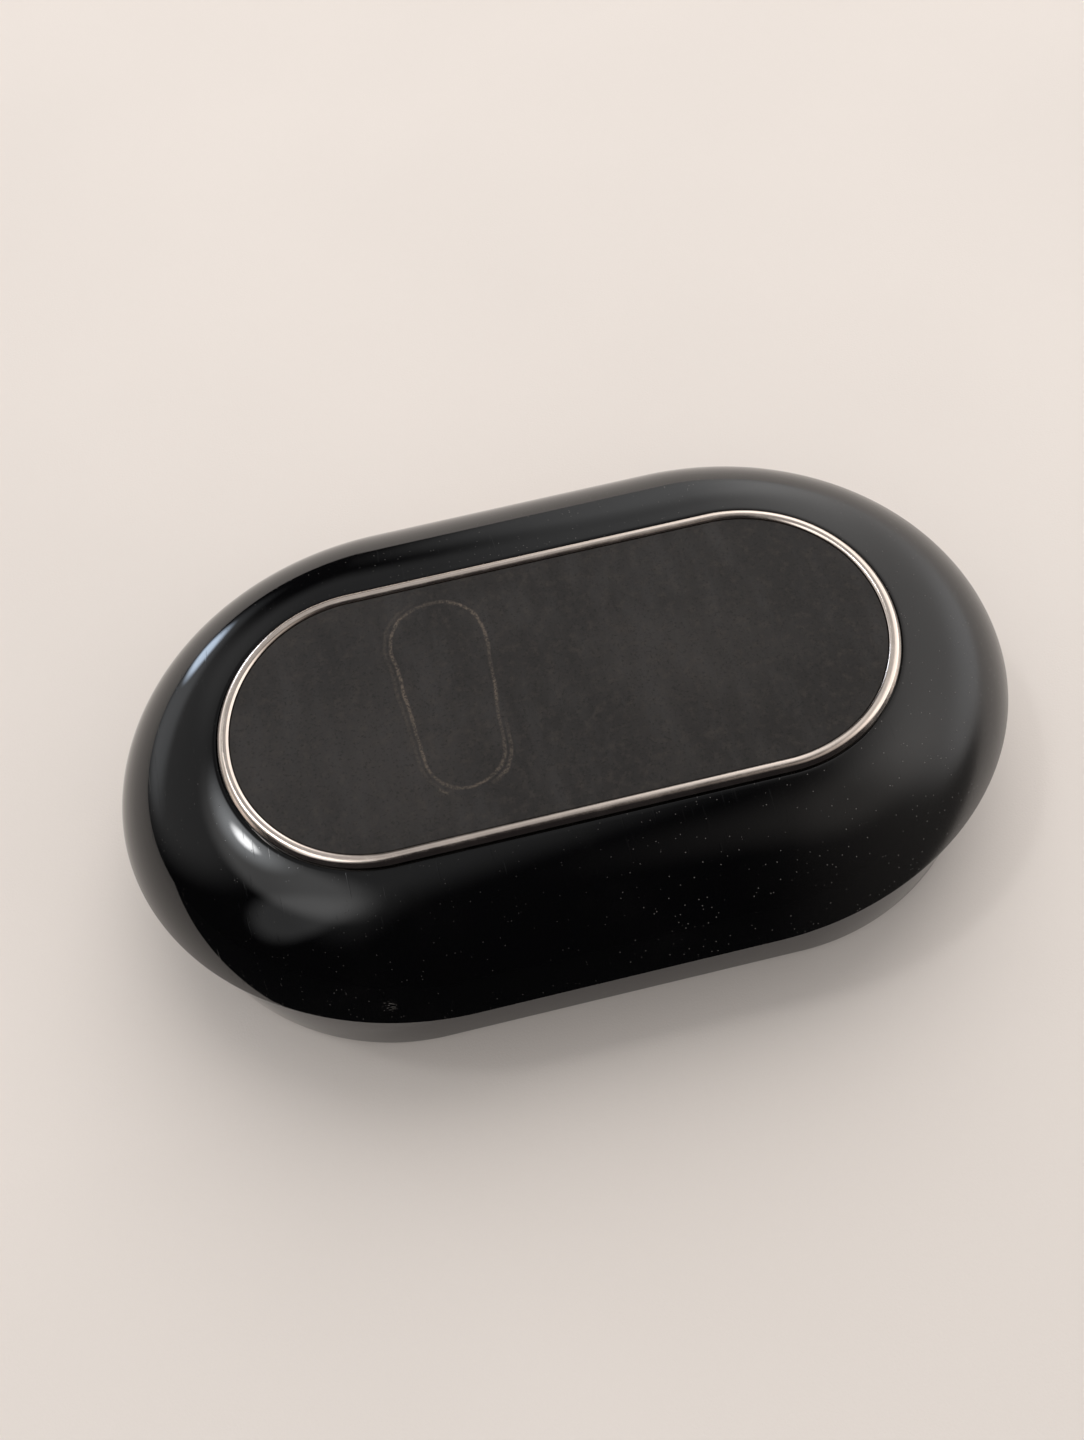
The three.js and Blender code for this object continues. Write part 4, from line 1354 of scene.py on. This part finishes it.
class Surroundings:
    """The world's light: a plain dome for matt surfaces, soft bright panels for the gloss."""

    def __init__(self, base, dome):
        world = bpy.data.worlds.new("Soft Studio")
        bpy.context.scene.world = world
        world.use_nodes = True
        self.tree = world.node_tree
        self.shine = self.tree.nodes["Background"]
        self.place = self.tree.nodes.new("ShaderNodeTexCoord").outputs["Object"]
        self.light = base
        self.dome = dome

    def node(self, kind, *values, **settings):
        """Add a node, feed its inputs in order and give its first output."""
        node = self.tree.nodes.new(kind)
        for key, value in settings.items():
            setattr(node, key, value)
        for socket, value in zip(node.inputs, values):
            if isinstance(value, bpy.types.NodeSocket):
                self.tree.links.new(value, socket)
            else:
                socket.default_value = value
        return node.outputs

    def panel(self, azimuth, elevation, wide, tall, soft, glow, tint=(1.0, 1.0, 1.0), tilt=0.0):
        """Add a soft-edged oval of light; its half sizes are in degrees."""
        out = direction(azimuth, elevation)
        across = Vector((math.cos(math.radians(azimuth)), math.sin(math.radians(azimuth)), 0.0))
        upward = out.cross(across).normalized()
        if tilt:
            lean = Matrix.Rotation(math.radians(tilt), 3, out)
            across, upward = lean @ across, lean @ upward
        away = self.node("ShaderNodeVectorMath", self.place, tuple(out), operation="SUBTRACT")[0]
        parts = []
        for axis, half in ((across, wide), (upward, tall), (out, max(wide, tall, 30))):
            scaled = tuple(axis / (2 * math.sin(math.radians(half) / 2)))
            parts.append(self.node(
                "ShaderNodeVectorMath", away, scaled, operation="DOT_PRODUCT")[1])
        spot = self.node("ShaderNodeCombineXYZ", *parts)[0]
        reach = self.node("ShaderNodeVectorMath", spot, operation="LENGTH")[1]
        inside = self.node(
            "ShaderNodeMapRange", reach, 1.0 + soft, 1.0 - soft, 0.0, 1.0,
            interpolation_type="SMOOTHSTEP")[0]
        colour_now = tuple(glow * channel for channel in tint)
        self.light = self.node(
            "ShaderNodeVectorMath", inside, colour_now, self.light, operation="MULTIPLY_ADD")[0]

    def choose(self, ray, plain, panels):
        """Take one light for rays of this kind and the other for the rest."""
        mix = self.tree.nodes.new("ShaderNodeMix")
        mix.data_type = "VECTOR"
        self.tree.links.new(self.rays.outputs[ray], mix.inputs["Factor"])
        for socket, value in zip([s for s in mix.inputs if s.type == "VECTOR"][-2:], (panels, plain)):
            if isinstance(value, bpy.types.NodeSocket):
                self.tree.links.new(value, socket)
            else:
                socket.default_value = value
        return next(socket for socket in mix.outputs if socket.type == "VECTOR")

    def close(self):
        """Give the panels to reflections, the dome to matt surfaces and a backdrop to the camera."""
        self.rays = self.tree.nodes.new("ShaderNodeLightPath")
        dome = tuple(self.dome * channel for channel in (1.0, 0.985, 0.975))
        light = self.choose("Is Diffuse Ray", dome, self.light)
        light = self.choose("Is Camera Ray", (0.80, 0.76, 0.73), light)
        self.tree.links.new(light, self.shine.inputs["Color"])


def cloth_floor():
    """Pale floor with a barely visible weave."""
    colours = bpy.context.scene.case_colours
    finish = Finish("Pale Floor")
    drift = finish.noise(6.0, 3.0, 0.5)
    weave = finish.noise(2600.0, 2.0, 0.6)
    tone = tuple(colours.floor)
    shade = tuple(channel * 0.965 for channel in tone)
    finish.base(finish.blend(finish.band(drift, 0.35, 0.65), tone, shade))
    finish.rough(finish.band(weave, 0.3, 0.7, 0.85, 0.95))
    finish.bump(weave, 0.03 * MM)
    return finish.material


class CASE_OT_stage(bpy.types.Operator):
    """Set the floor, the soft surroundings and the camera"""

    bl_idname = "case.stage"
    bl_label = "Stage"

    def execute(self, context):
        scene = context.scene
        stage = scene.case_stage
        deselect()
        bpy.ops.mesh.primitive_plane_add(size=6.0, location=(0.0, 0.0, 0.0))
        floor = named("floor")
        settle(floor)
        floor.data.materials.append(cloth_floor())

        deselect()
        bpy.ops.mesh.primitive_plane_add(size=6.4, location=(0.0, -3.249, 0.0006))
        flag = named("dark_flag")
        settle(flag)
        dark = Finish("Flag Black", Roughness=1.0, Specular_IOR_Level=0.0)
        dark.base((0.018, 0.018, 0.019))
        flag.data.materials.append(dark.material)
        for sight in ("visible_camera", "visible_diffuse", "visible_shadow"):
            setattr(flag, sight, False)

        room = Surroundings((0.012, 0.011, 0.012), stage.ambient)
        window, sky = stage.window, stage.skylight
        room.panel(112, 20, 46, 44, 0.20, 1.15 * window, (1.0, 0.97, 0.95))
        room.panel(98, 10, 24, 12, 0.5, 0.45 * window, (0.93, 0.98, 1.05))
        room.panel(158, 26, 16, 30, 0.30, 0.42 * window)
        room.panel(167, 10, 13, 18, 0.4, 0.55 * window)
        room.panel(60, 52, 20, 22, 0.5, 0.34 * window, (1.0, 0.93, 0.87))
        room.panel(-172, 42, 20, 14, 0.5, 0.34 * window)
        room.panel(-122, 30, 30, 30, 0.35, 0.42 * sky, (1.0, 0.99, 0.98))
        room.panel(-135, 10, 22, 10, 0.4, 0.55 * sky, (0.95, 0.98, 1.02))
        room.panel(-88, 62, 23, 15, 0.30, 1.10 * sky, (1.0, 0.99, 0.98))
        room.panel(-58, 44, 9, 24, 0.35, 0.60 * sky)
        room.panel(-120, 60, 8, 6, 0.8, 4.0 * sky, (0.96, 1.0, 1.04))
        room.panel(-119, 60.5, 3.2, 2.4, 0.5, 22.0 * sky)
        room.panel(-147.5, 6.5, 5.5, 5.0, 0.5, 7.0 * sky, (0.78, 0.94, 1.16))
        room.panel(-120, 78, 40, 12, 0.6, 0.35)
        room.close()

        deselect()
        bpy.ops.object.light_add(type="AREA", location=(0.25, 0.75, 0.95))
        lamp = context.active_object
        lamp.name = lamp.data.name = "soft_lamp"
        lamp.rotation_euler = (Vector((0, 0, 0)) - lamp.location).to_track_quat("-Z", "Y").to_euler()
        lamp.data.shape = "DISK"
        lamp.data.size = 1.25
        lamp.data.energy = stage.lamp
        lamp.data.color = (1.0, 0.975, 0.95)
        lamp.visible_glossy = False

        around, over, roll = stage.azimuth, stage.elevation, stage.roll
        back = Vector((
            math.sin(around) * math.cos(over), -math.cos(around) * math.cos(over), math.sin(over)))
        right = Vector((math.cos(around), math.sin(around), 0.0))
        upward = back.cross(right)
        turned_right = right * math.cos(roll) + upward * math.sin(roll)
        turned_up = upward * math.cos(roll) - right * math.sin(roll)
        place = back * stage.distance + turned_right * stage.beside + turned_up * stage.above
        place.y += PLAN_Y
        turn = Matrix((turned_right, turned_up, back)).transposed()
        bpy.ops.object.camera_add()
        camera = context.active_object
        camera.name = camera.data.name = "camera"
        camera.matrix_world = Matrix.Translation(place) @ turn.to_4x4()
        camera.data.lens = stage.lens
        camera.data.sensor_width = 36.0
        camera.data.clip_start = 0.01
        scene.camera = camera
        scene.view_settings.view_transform = "Standard"
        return {"FINISHED"}


# ------------------------------------------------------------------ panel, registration and run


class CASE_PT_build(bpy.types.Panel):
    """Buttons for each piece, and the values they use"""

    bl_idname = "CASE_PT_build"
    bl_label = "Hinged Hard Case"
    bl_space_type = "VIEW_3D"
    bl_region_type = "UI"
    bl_category = "Case"

    def draw(self, context):
        layout = self.layout
        for step in STEPS:
            layout.operator(step.bl_idname)
        for group in GROUPS:
            box = layout.box()
            box.label(text=group[1].__doc__)
            for name in group[1].__annotations__:
                box.prop(getattr(context.scene, group[0]), name)


GROUPS = (
    ("case_sizes", CaseSizes),
    ("case_colours", CaseColours),
    ("case_stage", StageSettings),
)

STEPS = (
    CASE_OT_lid_shell,
    CASE_OT_top_panel,
    CASE_OT_trim_ring,
    CASE_OT_base_shell,
    CASE_OT_sole_pad,
    CASE_OT_base_lining,
    CASE_OT_base_cushion,
    CASE_OT_lid_lining,
    CASE_OT_hinge,
    CASE_OT_screws,
    CASE_OT_ball_catch,
    CASE_OT_kept_nodes,
    CASE_OT_stage,
)


def register():
    """Register the classes and hang the values on the scene."""
    for name, group in GROUPS:
        bpy.utils.register_class(group)
        setattr(bpy.types.Scene, name, bpy.props.PointerProperty(type=group))
    for item in (*STEPS, CASE_PT_build):
        bpy.utils.register_class(item)


def unregister():
    """Undo register()."""
    for item in (CASE_PT_build, *reversed(STEPS)):
        bpy.utils.unregister_class(item)
    for name, group in reversed(GROUPS):
        delattr(bpy.types.Scene, name)
        bpy.utils.unregister_class(group)


def main():
    """Register the classes and build every piece in order."""
    register()
    for step in STEPS:
        getattr(bpy.ops.case, step.bl_idname.split(".")[1])()


if __name__ == "__main__":
    main()
